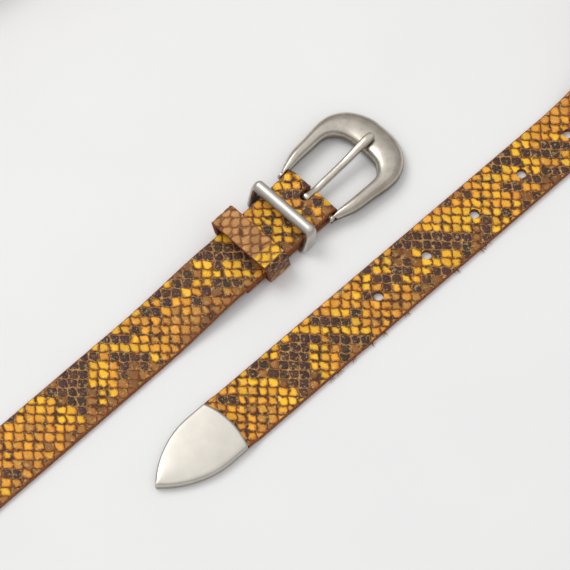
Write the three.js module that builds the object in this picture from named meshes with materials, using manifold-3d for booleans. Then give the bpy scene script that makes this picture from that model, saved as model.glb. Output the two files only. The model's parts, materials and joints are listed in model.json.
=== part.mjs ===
// A snake print leather belt lying on a table: one strap folded round the bar of a
// D-shaped centre-bar buckle, a loose metal keeper, a leather loop and a metal tip cap.
// Millimetres, Z up, the table that the belt lies on at z = 0. X points from the bar to
// the buckle's far end, and the origin is under the middle of the whole belt.

import * as THREE from 'three';
import { mergeVertices } from 'three/addons/utils/BufferGeometryUtils.js';
import Module from 'manifold-3d';

const wasm = await Module();
wasm.setup();

// Clear space between two pieces that touch on the real belt
const GAP = 0.3;

// Strap leather
const STRAP_WIDTH = 25.4;
const STRAP_THICK = 2.4;
const FOLD_THICK = 2.2;
const EDGE_CHAMFER = 0.5;
const FOLD_BACK_LENGTH = 46;
const FOLD_LEVEL_FROM = 14;
const FOLD_AHEAD = 0.6;
const FOLD_SLACK = 0.45;
const FOLD_STEPS = 12;

// Bar of the buckle
const BAR_RADIUS = 1.2;
const BAR_HEIGHT = 4.6;
const BAR_HALF_LENGTH = 14.5;
const BAR_DOME = 0.3;
const BAR_SIDES = 20;
const DOME_STEPS = 3;

// Bottom of the leather loop, which the folded strap lies on; the keeper's is a little thinner
const BASE_THICK = 1.5;
const UNDER_LAYER_BOTTOM = BASE_THICK + GAP;
const UPPER_LAYER_BOTTOM = UNDER_LAYER_BOTTOM + FOLD_THICK + GAP;

// Plan route of the strap from the bar (arc length 0) to the tip. turn is in degrees, to
// the left positive, and roll is the bank that the stretch ends with: at -90 the strap
// stands on its edge with the print outwards. steps is the number of sections.
const START_HEADING = 180;
const ROUTE = [
  { name: 'behind the buckle', length: 14, turn: 0, roll: 0, steps: 1 },
  { name: 'under the loops', length: 32, turn: -1.5, roll: 0, steps: 3 },
  { name: 'down to the table', length: 46, turn: 0, roll: 0, steps: 6 },
  { name: 'flat buckle end', length: 92, turn: 0, roll: 0, steps: 4 },
  { name: 'bank up', length: 36, turn: 0, roll: -55, steps: 7 },
  { name: 'bank up to the edge', length: 28, turn: -20, roll: -90, steps: 6 },
  { name: 'near bend', length: 56, turn: -103.2, roll: -90, steps: 14 },
  { name: 'far sweep', length: 570.9, turn: -126.65, roll: -90, steps: 26 },
  { name: 'end bend', length: 56, turn: -90.8, roll: -90, steps: 14 },
  { name: 'bank down from the edge', length: 28, turn: -20, roll: -55, steps: 6 },
  { name: 'bank down', length: 36, turn: 0, roll: 0, steps: 7 },
  { name: 'flat tip end', length: 237.6, turn: 0, roll: 0, steps: 5 },
];
// Bends and banks ease in and out over this much of the strap on each side of a knot
const EASE = 16;
const EASE_STEP = 2;

// Height of the strap's underside above the table along the first part of the route
const LIFT = [
  { at: 14, lift: UPPER_LAYER_BOTTOM },
  { at: 46, lift: UPPER_LAYER_BOTTOM },
  { at: 92, lift: 0 },
];

// Punched holes, measured from the point of the tip
const HOLE_DIAMETER = 4.2;
const FIRST_HOLE = 118.8;
const HOLE_PITCH = 26.6;
const HOLE_COUNT = 5;
const HOLE_SIDES = 16;

// Slot in the fold, through which the tongue holds the bar
const SLOT_RADIUS = 2.3;
const SLOT_END = -1.1;
const SLOT_SIDES = 12;

// Metal cap on the tip
const CAP_LENGTH = 36.5;
const CAP_ARCH = 28;
const CAP_HALF_WIDTH = 12.7;
const CAP_THICK = 4.4;
const CAP_WALL = 0.7;
const CAP_MOUTH_BULGE = 2.4;
const CAP_EDGE_ROUND = 0.6;
const CAP_POINT_HALF_WIDTH = 0.4;
const CAP_ARCH_STEPS = 10;
const CAP_ARCH_CROWDING = 1.5;
const CAP_MOUTH_STEPS = 6;
const TAIL_THICK = 2.2;
const TAIL_TAPER = 5;
const TAIL_END = 4.5;
const SHOULDER_AT = CAP_LENGTH + 2 * GAP;
const SHOULDER_LENGTH = 0.2;
const TAIL_STEPS = 8;

// Leather loop
const LOOP_HALF_WIDTH = 16;
const LOOP_INNER_HALF_WIDTH = 14;
const LOOP_TOP = 13.4;
const LOOP_INNER_TOP = 11.6;
const LOOP_ASIDE = 0.7;
const LOOP_LENGTH = 11.2;
const LOOP_BASE_CENTRE = -30.1;
const LOOP_TOP_CENTRE = -32.2;
const LOOP_CORNER = 2;

// Metal keeper
const KEEPER_HALF_WIDTH = 16.2;
const KEEPER_INNER_HALF_WIDTH = 14.4;
const KEEPER_TOP = 14;
const KEEPER_INNER_TOP = 11.7;
const KEEPER_BASE_THICK = 1.3;
const KEEPER_ASIDE = 0.6;
const KEEPER_BASE_LENGTH = 7;
const KEEPER_TOP_LENGTH = 4.8;
const KEEPER_BASE_CENTRE = -14.8;
const KEEPER_TOP_CENTRE = -12.3;
const KEEPER_CORNER = 2.4;
const INNER_CORNER = 0.6;
const CORNER_STEPS = 4;

// The frame and its bar have slid a little along the fold, to its far side
const FRAME_ASIDE = 0.3;

// Buckle frame: sections of one half, from the end of the arm to the middle of the far
// end. outerX, outerY is the outline, innerX, innerY the window and thick the height.
const FRAME_SECTIONS = [
  { outerX: -0.9, outerY: 14.6, innerX: -0.8, innerY: 13.3, thick: 2.6 },
  { outerX: 0.9, outerY: 15.3, innerX: 1, innerY: 13.3, thick: 3.6 },
  { outerX: 4, outerY: 16.7, innerX: 4.4, innerY: 13.3, thick: 4.8 },
  { outerX: 10, outerY: 18.6, innerX: 10, innerY: 13.7, thick: 5.9 },
  { outerX: 18, outerY: 19.4, innerX: 17, innerY: 13.9, thick: 6.5 },
  { outerX: 26.5, outerY: 20.3, innerX: 23.6, innerY: 13.9, thick: 7 },
  { outerX: 33, outerY: 19.7, innerX: 27, innerY: 12.5, thick: 7.2 },
  { outerX: 38.7, outerY: 16.6, innerX: 29.4, innerY: 9.8, thick: 7.2 },
  { outerX: 42.5, outerY: 12, innerX: 30.5, innerY: 6.9, thick: 7 },
  { outerX: 44.7, outerY: 6.3, innerX: 30.9, innerY: 3.4, thick: 6.9 },
  { outerX: 45.1, outerY: 0, innerX: 31, innerY: 0, thick: 6.8 },
];
const FRAME_STEPS = 48;
const FRAME_UNDERSIDE = -1.6;
const BOSS_RADIUS = 1.9;
const BOSS_LENGTH = 1.5;
const BOSS_SIDES = 16;
// Rounded section of the cast frame: across from the window (0) to the outline (1)
const FRAME_SECTION = [
  { across: 0.25, up: 0 },
  { across: 0.75, up: 0 },
  { across: 0.95, up: 0.16 },
  { across: 1, up: 0.42 },
  { across: 0.93, up: 0.7 },
  { across: 0.76, up: 0.9 },
  { across: 0.52, up: 1 },
  { across: 0.27, up: 0.97 },
  { across: 0.07, up: 0.84 },
  { across: 0, up: 0.5 },
  { across: 0.04, up: 0.16 },
];

// Tongue: a ring round the bar and a shank whose tip rests on the frame's far end
const TONGUE_RING_RADIUS = 2.4;
const TONGUE_RING_WIDTH = 3.4;
const TONGUE_RING_SIDES = 20;
const TONGUE_SECTIONS = [
  { along: 0, height: 0.9, width: 3.1, thick: 1.9 },
  { along: 5, height: 0.8, width: 3.1, thick: 2.1 },
  { along: 10, height: 1.7, width: 3.1, thick: 2.2 },
  { along: 16, height: 2.6, width: 3.1, thick: 2.2 },
  { along: 22, height: 3.7, width: 3.2, thick: 2.2 },
  { along: 28, height: 5.4, width: 3.5, thick: 2.1 },
  { along: 33.4, height: 6.7, width: 3.9, thick: 2 },
  { along: 36.2, height: 6.85, width: 3.4, thick: 1.8 },
  { along: 37.3, height: 6.7, width: 1.7, thick: 1 },
];

const radians = THREE.MathUtils.degToRad;
const smooth = (value, from, to) => THREE.MathUtils.smoothstep(value, from, to);

function interpolate(rows, key, position, field) {
  const after = rows.findIndex((row) => row[key] >= position);
  if (after === 0) return rows[0][field];
  if (after < 0) return rows[rows.length - 1][field];
  const low = rows[after - 1];
  const high = rows[after];
  const share = (position - low[key]) / (high[key] - low[key]);
  return THREE.MathUtils.lerp(low[field], high[field], share);
}

// A closed body from rings of points: each ring has one point for each row of section,
// and place(index, row) puts it in space. An open sweep gets a flat cap at both ends.
function sweep(count, section, place, isLoop) {
  const sides = section.length;
  const positions = [];
  const faces = [];
  for (let ring = 0; ring < count; ring += 1) {
    for (const row of section) positions.push(...place(ring, row).toArray());
  }
  const bands = isLoop ? count : count - 1;
  for (let ring = 0; ring < bands; ring += 1) {
    const next = (ring + 1) % count;
    for (let side = 0; side < sides; side += 1) {
      const other = (side + 1) % sides;
      const near = [ring * sides + side, ring * sides + other];
      const far = [next * sides + side, next * sides + other];
      faces.push(near[0], near[1], far[1], near[0], far[1], far[0]);
    }
  }
  if (!isLoop) {
    const last = (count - 1) * sides;
    for (let side = 1; side < sides - 1; side += 1) {
      faces.push(0, side + 1, side);
      faces.push(last, last + side, last + side + 1);
    }
  }
  return facingOut(positions, faces);
}

function facingOut(positions, faces) {
  const corner = (index) => new THREE.Vector3().fromArray(positions, faces[index] * 3);
  let volume = 0;
  for (let face = 0; face < faces.length; face += 3) {
    volume += corner(face).dot(corner(face + 1).cross(corner(face + 2)));
  }
  const geometry = new THREE.BufferGeometry();
  geometry.setAttribute('position', new THREE.Float32BufferAttribute(positions, 3));
  geometry.setIndex(volume > 0 ? faces : faces.toReversed());
  return geometry;
}

function toSolid(geometry) {
  const bare = geometry.clone();
  bare.deleteAttribute('normal');
  bare.deleteAttribute('uv');
  const merged = mergeVertices(bare, 1e-4);
  const mesh = new wasm.Mesh({
    numProp: 3,
    vertProperties: new Float32Array(merged.attributes.position.array),
    triVerts: new Uint32Array(merged.index.array),
  });
  return new wasm.Manifold(mesh);
}

function toGeometry(solid) {
  const mesh = solid.getMesh();
  const geometry = new THREE.BufferGeometry();
  geometry.setAttribute('position', new THREE.BufferAttribute(mesh.vertProperties, 3));
  geometry.setIndex(new THREE.BufferAttribute(mesh.triVerts, 1));
  return geometry;
}

// A round bar along Y whose middle is at the origin
function barAlongY(radius, length, sides) {
  return new THREE.CylinderGeometry(radius, radius, length, sides);
}

// Heading and bank at an arc length, eased over the knots of the route
const KNOTS = [{ at: 0, heading: START_HEADING, roll: 0 }];
for (const stretch of ROUTE) {
  const last = KNOTS[KNOTS.length - 1];
  KNOTS.push({
    at: last.at + stretch.length,
    heading: last.heading + stretch.turn,
    roll: stretch.roll,
  });
}
const TIP_AT = KNOTS[KNOTS.length - 1].at;

function eased(field, at) {
  let sum = 0;
  let count = 0;
  for (let offset = -EASE; offset <= EASE; offset += EASE_STEP) {
    sum += interpolate(KNOTS, 'at', at + offset, field);
    count += 1;
  }
  return sum / count;
}

// Points of the strap's centre line in plan, a millimetre apart
const PLAN_STEP = 1;
const PLAN = [{ at: 0, x: 0, y: 0 }];
for (let at = PLAN_STEP; at <= TIP_AT + PLAN_STEP; at += PLAN_STEP) {
  const last = PLAN[PLAN.length - 1];
  const heading = radians(eased('heading', at - PLAN_STEP / 2));
  PLAN.push({
    at,
    x: last.x + PLAN_STEP * Math.cos(heading),
    y: last.y + PLAN_STEP * Math.sin(heading),
  });
}

function planPoint(at) {
  return new THREE.Vector2(
    interpolate(PLAN, 'at', at, 'x'),
    interpolate(PLAN, 'at', at, 'y'),
  );
}

// Half the width of the pointed cap at a distance from its point: an arc that runs
// tangent into the straight sides after CAP_ARCH
function archHalfWidth(distance) {
  const rise = CAP_HALF_WIDTH - CAP_POINT_HALF_WIDTH;
  const radius = (CAP_ARCH ** 2 + rise ** 2) / (2 * rise);
  const back = Math.max(CAP_ARCH - distance, 0);
  return CAP_HALF_WIDTH - radius + Math.sqrt(radius ** 2 - back ** 2);
}

// Width, thickness and lift of the strap at an arc length. Its end is cut narrower with a
// square shoulder, and thins and rises from the table to lie inside the cap.
function strapSize(at) {
  const fromTip = TIP_AT - at;
  const fromMouth = fromTip - CAP_LENGTH - CAP_MOUTH_BULGE;
  const inCap = 1 - smooth(fromMouth, 0, TAIL_TAPER);
  const isTail = fromTip < SHOULDER_AT + SHOULDER_LENGTH / 2;
  const tailWidth = 2 * (archHalfWidth(fromTip) - CAP_WALL - GAP);
  const tailLift = (CAP_THICK - TAIL_THICK) / 2;
  const lift = interpolate(LIFT, 'at', at, 'lift');
  const slope = smooth(at, LIFT[1].at, LIFT[2].at);
  return {
    width: isTail ? tailWidth : STRAP_WIDTH,
    thick: THREE.MathUtils.lerp(STRAP_THICK, TAIL_THICK, inCap),
    lift: at < LIFT[1].at ? lift : LIFT[1].lift * (1 - slope) + tailLift * inCap,
  };
}

function routeStation(at) {
  const plan = planPoint(at);
  const roll = radians(eased('roll', at));
  const size = strapSize(at);
  const leaning = (size.width / 2) * Math.abs(Math.sin(roll));
  const lying = (size.thick / 2) * Math.cos(roll);
  return {
    middle: new THREE.Vector3(plan.x, plan.y, size.lift + leaning + lying),
    heading: radians(eased('heading', at)),
    roll,
    width: size.width,
    thick: size.thick,
  };
}

// Angle on the fold's circle, seen from the bar, where a straight layer touches it
function touchAngle(levelMiddle, side) {
  const up = levelMiddle - BAR_HEIGHT;
  const back = FOLD_LEVEL_FROM + FOLD_AHEAD;
  const spread = Math.acos(foldRadius() / Math.hypot(back, up));
  const direction = Math.atan2(up, -back);
  return side > 0 ? direction - spread : direction + spread;
}

function foldRadius() {
  return BAR_RADIUS + FOLD_SLACK + FOLD_THICK / 2;
}

function foldStation(x, y, z) {
  return {
    middle: new THREE.Vector3(x, y, z),
    heading: radians(START_HEADING),
    roll: 0,
    width: STRAP_WIDTH,
    thick: FOLD_THICK,
  };
}

// The layer that is folded back under the strap follows its line in plan
function underStation(at) {
  const { x, y } = planPoint(at);
  return foldStation(x, y, UNDER_LAYER_BOTTOM + FOLD_THICK / 2);
}

function foldStations() {
  const underMiddle = UNDER_LAYER_BOTTOM + FOLD_THICK / 2;
  const upperMiddle = UPPER_LAYER_BOTTOM + STRAP_THICK / 2;
  const from = touchAngle(underMiddle, -1);
  const to = touchAngle(upperMiddle, 1);
  const stations = [underStation(FOLD_BACK_LENGTH), underStation(FOLD_LEVEL_FROM)];
  for (let step = 0; step <= FOLD_STEPS; step += 1) {
    const angle = THREE.MathUtils.lerp(from, to, step / FOLD_STEPS);
    const x = FOLD_AHEAD + foldRadius() * Math.cos(angle);
    const z = BAR_HEIGHT + foldRadius() * Math.sin(angle);
    stations.push(foldStation(x, 0, z));
  }
  return stations;
}

function strapStations() {
  const stations = foldStations();
  let from = ROUTE[0].length;
  stations.push(routeStation(from));
  for (const stretch of ROUTE.slice(1, -1)) {
    for (let step = 1; step <= stretch.steps; step += 1) {
      stations.push(routeStation(from + (stretch.length * step) / stretch.steps));
    }
    from += stretch.length;
  }
  const mouth = TIP_AT - CAP_LENGTH - CAP_MOUTH_BULGE;
  const flat = ROUTE[ROUTE.length - 1].steps;
  for (let step = 1; step <= flat; step += 1) {
    stations.push(routeStation(THREE.MathUtils.lerp(from, mouth - TAIL_TAPER, step / flat)));
  }
  const shoulder = TIP_AT - SHOULDER_AT;
  for (const at of [mouth - TAIL_TAPER / 2, mouth, shoulder - SHOULDER_LENGTH]) {
    stations.push(routeStation(at));
  }
  for (let step = 0; step <= TAIL_STEPS; step += 1) {
    const share = Math.sin((step / TAIL_STEPS) * (Math.PI / 2));
    stations.push(routeStation(THREE.MathUtils.lerp(shoulder, TIP_AT - TAIL_END, share)));
  }
  return stations;
}

// Section of the strap: a rectangle with its long edges broken, across and out from -1
// to 1, inset in millimetres
const STRAP_SECTION = [
  { across: -1, out: -1, insetAcross: EDGE_CHAMFER, insetOut: 0 },
  { across: 1, out: -1, insetAcross: EDGE_CHAMFER, insetOut: 0 },
  { across: 1, out: -1, insetAcross: 0, insetOut: EDGE_CHAMFER },
  { across: 1, out: 1, insetAcross: 0, insetOut: EDGE_CHAMFER },
  { across: 1, out: 1, insetAcross: EDGE_CHAMFER, insetOut: 0 },
  { across: -1, out: 1, insetAcross: EDGE_CHAMFER, insetOut: 0 },
  { across: -1, out: 1, insetAcross: 0, insetOut: EDGE_CHAMFER },
  { across: -1, out: -1, insetAcross: 0, insetOut: EDGE_CHAMFER },
];

function strapBody() {
  const stations = strapStations();
  const last = stations.length - 1;
  const place = (index, row) => {
    const here = stations[index];
    const before = stations[Math.max(index - 1, 0)].middle;
    const after = stations[Math.min(index + 1, last)].middle;
    const travel = after.clone().sub(before).normalize();
    const level = new THREE.Vector3(-Math.sin(here.heading), Math.cos(here.heading), 0);
    const across = level.multiplyScalar(Math.cos(here.roll));
    across.z = Math.sin(here.roll);
    const out = travel.clone().cross(across).normalize();
    const acrossBy = row.across * (here.width / 2 - row.insetAcross);
    const outBy = row.out * (here.thick / 2 - row.insetOut);
    return here.middle.clone().addScaledVector(across, acrossBy).addScaledVector(out, outBy);
  };
  return sweep(stations.length, STRAP_SECTION, place, false);
}

// The slot runs off the fold, so its outline is open towards the buckle
function slotCutter() {
  const outline = new THREE.Shape();
  outline.moveTo(BAR_RADIUS + 2 * FOLD_THICK, -SLOT_RADIUS);
  outline.lineTo(BAR_RADIUS + 2 * FOLD_THICK, SLOT_RADIUS);
  outline.lineTo(SLOT_END, SLOT_RADIUS);
  outline.absarc(SLOT_END, 0, SLOT_RADIUS, Math.PI / 2, Math.PI * 1.5, false);
  const depth = 3 * BAR_HEIGHT;
  const cutter = new THREE.ExtrudeGeometry(outline, {
    depth,
    bevelEnabled: false,
    curveSegments: SLOT_SIDES,
  });
  return cutter.translate(0, 0, -BAR_HEIGHT);
}

function holeCutter(number) {
  const middle = planPoint(TIP_AT - FIRST_HOLE - number * HOLE_PITCH);
  const cutter = barAlongY(HOLE_DIAMETER / 2, 4 * STRAP_THICK, HOLE_SIDES);
  return cutter.rotateX(Math.PI / 2).translate(middle.x, middle.y, STRAP_THICK / 2);
}

function strapGeometry() {
  let strap = toSolid(strapBody()).subtract(toSolid(slotCutter()));
  for (let number = 0; number < HOLE_COUNT; number += 1) {
    strap = strap.subtract(toSolid(holeCutter(number)));
  }
  return toGeometry(strap);
}

// Outline of the cap, its point at the origin and its mouth towards +X
function capOutline(inset, extra) {
  const outline = new THREE.Shape();
  const sides = [];
  for (let step = 0; step <= CAP_ARCH_STEPS; step += 1) {
    const share = (step / CAP_ARCH_STEPS) ** CAP_ARCH_CROWDING;
    const distance = inset + (CAP_ARCH - inset) * share;
    sides.push({ x: distance, y: Math.max(archHalfWidth(distance) - inset, 0) });
  }
  const edge = CAP_HALF_WIDTH - inset;
  for (let step = 0; step <= CAP_MOUTH_STEPS; step += 1) {
    const share = 1 - step / CAP_MOUTH_STEPS;
    const bulge = CAP_MOUTH_BULGE * (1 - share ** 2);
    sides.push({ x: CAP_LENGTH + extra + bulge, y: edge * share });
  }
  outline.moveTo(sides[0].x, sides[0].y);
  for (const { x, y } of sides.slice(1)) outline.lineTo(x, y);
  for (const { x, y } of sides.slice(0, -1).reverse()) {
    if (y > 0) outline.lineTo(x, -y);
  }
  return outline;
}

function capGeometry() {
  const outer = new THREE.ExtrudeGeometry(capOutline(0, 0), {
    depth: CAP_THICK - 2 * CAP_EDGE_ROUND,
    bevelThickness: CAP_EDGE_ROUND,
    bevelSize: CAP_EDGE_ROUND,
    bevelOffset: -CAP_EDGE_ROUND,
    bevelSegments: 2,
  }).translate(0, 0, CAP_EDGE_ROUND);
  const hollow = new THREE.ExtrudeGeometry(capOutline(CAP_WALL, CAP_LENGTH / 2), {
    depth: CAP_THICK - 2 * CAP_WALL,
    bevelEnabled: false,
  }).translate(0, 0, CAP_WALL);
  return toGeometry(toSolid(outer).subtract(toSolid(hollow)));
}

// Corners of an upright rectangle with rounded corners, counter-clockwise from the right
function roundedRectangle(halfWidth, bottom, top, radius) {
  const points = [];
  const centres = [
    { y: halfWidth - radius, z: top - radius },
    { y: radius - halfWidth, z: top - radius },
    { y: radius - halfWidth, z: bottom + radius },
    { y: halfWidth - radius, z: bottom + radius },
  ];
  centres.forEach((centre, quarter) => {
    for (let step = 0; step <= CORNER_STEPS; step += 1) {
      const angle = (quarter + step / CORNER_STEPS) * (Math.PI / 2);
      const y = centre.y + radius * Math.cos(angle);
      const z = centre.z + radius * Math.sin(angle);
      points.push({ y, z });
    }
  });
  return points;
}

// A hoop round the strap between an outer and an inner outline, standing aside from the
// strap's middle. middleAt and lengthAt give its place and length along X at a height.
function hoop(outer, inner, section, aside, middleAt, lengthAt) {
  const place = (index, row) => {
    const y = THREE.MathUtils.lerp(inner[index].y, outer[index].y, row.out);
    const z = THREE.MathUtils.lerp(inner[index].z, outer[index].z, row.out);
    return new THREE.Vector3(middleAt(z) + (row.across * lengthAt(z)) / 2, aside + y, z);
  };
  return sweep(outer.length, section, place, true);
}

const LOOP_SECTION = [
  { across: -0.94, out: 0 },
  { across: 0.94, out: 0 },
  { across: 1, out: 0.2 },
  { across: 1, out: 0.8 },
  { across: 0.94, out: 1 },
  { across: -0.94, out: 1 },
  { across: -1, out: 0.8 },
  { across: -1, out: 0.2 },
];

function leatherLoopGeometry() {
  const outer = roundedRectangle(LOOP_HALF_WIDTH, 0, LOOP_TOP, LOOP_CORNER);
  const inner = roundedRectangle(LOOP_INNER_HALF_WIDTH, BASE_THICK, LOOP_INNER_TOP, INNER_CORNER);
  const along = (z, base, top) => THREE.MathUtils.mapLinear(z, 0, LOOP_TOP, base, top);
  const middleAt = (z) => along(z, LOOP_BASE_CENTRE, LOOP_TOP_CENTRE);
  return hoop(outer, inner, LOOP_SECTION, LOOP_ASIDE, middleAt, () => LOOP_LENGTH);
}

const KEEPER_SECTION = [
  { across: -1, out: 0 },
  { across: 1, out: 0 },
  { across: 1, out: 0.25 },
  { across: 0.86, out: 0.66 },
  { across: 0.5, out: 0.93 },
  { across: 0, out: 1 },
  { across: -0.5, out: 0.93 },
  { across: -0.86, out: 0.66 },
  { across: -1, out: 0.25 },
];

function keeperGeometry() {
  const outer = roundedRectangle(KEEPER_HALF_WIDTH, 0, KEEPER_TOP, KEEPER_CORNER);
  const innerTop = KEEPER_INNER_TOP;
  const inner = roundedRectangle(KEEPER_INNER_HALF_WIDTH, KEEPER_BASE_THICK, innerTop, INNER_CORNER);
  const along = (z, base, top) => THREE.MathUtils.mapLinear(z, 0, KEEPER_TOP, base, top);
  const middleAt = (z) => along(z, KEEPER_BASE_CENTRE, KEEPER_TOP_CENTRE);
  const lengthAt = (z) => along(z, KEEPER_BASE_LENGTH, KEEPER_TOP_LENGTH);
  return hoop(outer, inner, KEEPER_SECTION, KEEPER_ASIDE, middleAt, lengthAt);
}

// Frame outline and window as smooth curves through the sections and their mirror image
function frameCurve(xField, yField) {
  const rows = FRAME_SECTIONS.map((row) => new THREE.Vector3(row[xField], row[yField], row.thick));
  const mirrored = rows.slice(0, -1).map((row) => new THREE.Vector3(row.x, -row.y, row.z));
  return new THREE.CatmullRomCurve3([...rows, ...mirrored.reverse()], false, 'catmullrom', 0.5);
}

function frameGeometry() {
  const outline = frameCurve('outerX', 'outerY').getPoints(FRAME_STEPS);
  const window = frameCurve('innerX', 'innerY').getPoints(FRAME_STEPS);
  const place = (index, row) => {
    const point = window[index].clone().lerp(outline[index], row.across);
    const height = FRAME_UNDERSIDE + row.up * outline[index].z;
    return new THREE.Vector3(point.x, point.y, height);
  };
  let frame = toSolid(sweep(FRAME_STEPS + 1, FRAME_SECTION, place, false));
  const arm = FRAME_SECTIONS[1];
  for (const side of [-1, 1]) {
    const boss = barAlongY(BOSS_RADIUS, BOSS_LENGTH, BOSS_SIDES);
    frame = frame.add(toSolid(boss.translate(0, side * (arm.innerY + BOSS_LENGTH / 2), 0)));
  }
  const hole = barAlongY(BAR_RADIUS + GAP, 4 * BAR_HALF_LENGTH, BAR_SIDES);
  return toGeometry(frame.subtract(toSolid(hole)));
}

// The bar's ends are hammered into low domes, each a quarter ellipse
function barGeometry() {
  const profile = [];
  for (let step = 0; step <= 2 * DOME_STEPS + 1; step += 1) {
    const side = step <= DOME_STEPS ? -1 : 1;
    const share = side < 0 ? step / DOME_STEPS : (2 * DOME_STEPS + 1 - step) / DOME_STEPS;
    const angle = share * (Math.PI / 2);
    const along = side * (BAR_HALF_LENGTH + BAR_DOME * Math.cos(angle));
    profile.push(new THREE.Vector2(BAR_RADIUS * Math.sin(angle), along));
  }
  return new THREE.LatheGeometry(profile, BAR_SIDES);
}

// Section of the shank: flat below, half-round above
const TONGUE_SHANK = [
  { across: -0.8, up: -1 },
  { across: 0.8, up: -1 },
  { across: 1, up: -0.6 },
  { across: 1, up: 0.1 },
  { across: 0.74, up: 0.68 },
  { across: 0.28, up: 1 },
  { across: -0.28, up: 1 },
  { across: -0.74, up: 0.68 },
  { across: -1, up: 0.1 },
  { across: -1, up: -0.6 },
];

function tongueGeometry() {
  const place = (index, row) => {
    const { along, height, width, thick } = TONGUE_SECTIONS[index];
    return new THREE.Vector3(along, (row.across * width) / 2, height + (row.up * thick) / 2);
  };
  const shank = toSolid(sweep(TONGUE_SECTIONS.length, TONGUE_SHANK, place, false));
  const ring = toSolid(barAlongY(TONGUE_RING_RADIUS, TONGUE_RING_WIDTH, TONGUE_RING_SIDES));
  const hole = toSolid(barAlongY(BAR_RADIUS + GAP, 2 * TONGUE_RING_WIDTH, BAR_SIDES));
  return toGeometry(shank.add(ring).subtract(hole));
}

// The buckle leans down from the bar until its far edge lies on the table
function frameLean() {
  const end = FRAME_SECTIONS[FRAME_SECTIONS.length - 1];
  const flatTo = FRAME_SECTION[1].across;
  const reach = THREE.MathUtils.lerp(end.innerX, end.outerX, flatTo);
  const below = Math.atan2(-FRAME_UNDERSIDE, reach);
  return Math.asin(BAR_HEIGHT / Math.hypot(reach, FRAME_UNDERSIDE)) - below;
}

function piece(name, geometry, colour, roughness, metalness) {
  const material = new THREE.MeshStandardMaterial({ color: colour, roughness, metalness });
  const mesh = new THREE.Mesh(geometry, material);
  mesh.name = name;
  return mesh;
}

const belt = new THREE.Group();

const strap = piece('strap', strapGeometry(), 0x9c6b35, 0.5, 0);
const leatherLoop = piece('leather_loop', leatherLoopGeometry(), 0xb08455, 0.5, 0);
const tipCap = piece('tip_cap', capGeometry(), 0xc3bfb5, 0.3, 1);
const tipPoint = planPoint(TIP_AT);
tipCap.position.set(tipPoint.x, tipPoint.y, 0);
tipCap.rotation.z = radians(eased('heading', TIP_AT) + 180);
const keeper = piece('metal_keeper', keeperGeometry(), 0xb9b4a8, 0.28, 1);

const buckle = new THREE.Group();
buckle.position.z = BAR_HEIGHT;
buckle.rotation.y = frameLean();
const frame = piece('buckle_frame', frameGeometry(), 0xada699, 0.25, 1);
const bar = piece('buckle_bar', barGeometry(), 0xada699, 0.3, 1);
frame.position.y = FRAME_ASIDE;
bar.position.y = FRAME_ASIDE;
buckle.add(frame, bar, piece('tongue', tongueGeometry(), 0xb5afa2, 0.25, 1));

belt.add(strap, leatherLoop, tipCap, keeper, buckle);
const middle = new THREE.Box3().setFromObject(belt).getCenter(new THREE.Vector3());
belt.position.set(-middle.x, -middle.y, 0);

export default belt;
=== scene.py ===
# %% [markdown]
# # A snake print belt, piece by piece
# The real belt is one strap of cowhide, embossed and printed to look like python skin. One end is
# folded round the bar of a cast buckle, held there by a metal keeper and a leather loop, and the
# other end runs into a pointed metal cap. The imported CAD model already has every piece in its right
# place, so this file only dresses it: each piece is made again as a finer surface in the same space.

# %% Load the frame
import functools
import json
import math

import bpy
import numpy as np
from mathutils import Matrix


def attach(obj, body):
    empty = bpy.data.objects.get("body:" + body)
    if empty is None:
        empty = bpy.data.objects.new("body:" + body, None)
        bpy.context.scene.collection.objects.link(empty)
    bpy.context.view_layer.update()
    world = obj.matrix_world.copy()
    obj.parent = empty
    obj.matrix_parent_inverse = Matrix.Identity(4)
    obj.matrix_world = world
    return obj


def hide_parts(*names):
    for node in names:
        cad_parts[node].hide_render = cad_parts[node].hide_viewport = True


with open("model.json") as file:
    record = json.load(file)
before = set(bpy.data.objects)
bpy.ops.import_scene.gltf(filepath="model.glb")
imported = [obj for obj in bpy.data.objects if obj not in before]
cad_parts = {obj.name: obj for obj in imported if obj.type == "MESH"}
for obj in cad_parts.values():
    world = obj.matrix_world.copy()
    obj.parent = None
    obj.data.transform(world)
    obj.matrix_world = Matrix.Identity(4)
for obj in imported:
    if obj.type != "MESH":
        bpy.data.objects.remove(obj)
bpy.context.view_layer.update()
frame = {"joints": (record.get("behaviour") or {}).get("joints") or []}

MM = 0.001
HINGE = next(joint for joint in frame["joints"] if joint["name"] == "buckle_hinge")
BAR = np.array(HINGE["pos_m"]) / MM
print("bar of the buckle, in millimetres:", BAR.round(2))

# %% [markdown]
# ## The camera
# A catalogue photo like this is taken from far away with a long lens, so the belt hardly narrows
# with distance. The camera looks down at 63 degrees, and a lens of 224 mm from 1.4 m away gives
# the same scale as the picture. It aims at a point of the table just beside the bar.

# %% Make the camera
AZIMUTH = math.radians(-45.6)
ELEVATION = math.radians(63)
DISTANCE = 1.4
LENS = 223.96
AIM_FROM_BAR = (-0.03242, -0.01929)

camera = bpy.data.objects.new("camera", bpy.data.cameras.new("camera"))
bpy.context.scene.collection.objects.link(camera)
bpy.context.scene.camera = camera
camera.data.sensor_width = 36
camera.data.lens = LENS
aim = np.array([BAR[0] * MM + AIM_FROM_BAR[0], BAR[1] * MM + AIM_FROM_BAR[1], 0])
back = np.array([
    math.sin(AZIMUTH) * math.cos(ELEVATION),
    -math.cos(AZIMUTH) * math.cos(ELEVATION),
    math.sin(ELEVATION),
])
camera.location = aim + back * DISTANCE
camera.rotation_euler = (math.pi / 2 - ELEVATION, 0, AZIMUTH)
print("camera at", [round(value, 3) for value in camera.location])

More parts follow.
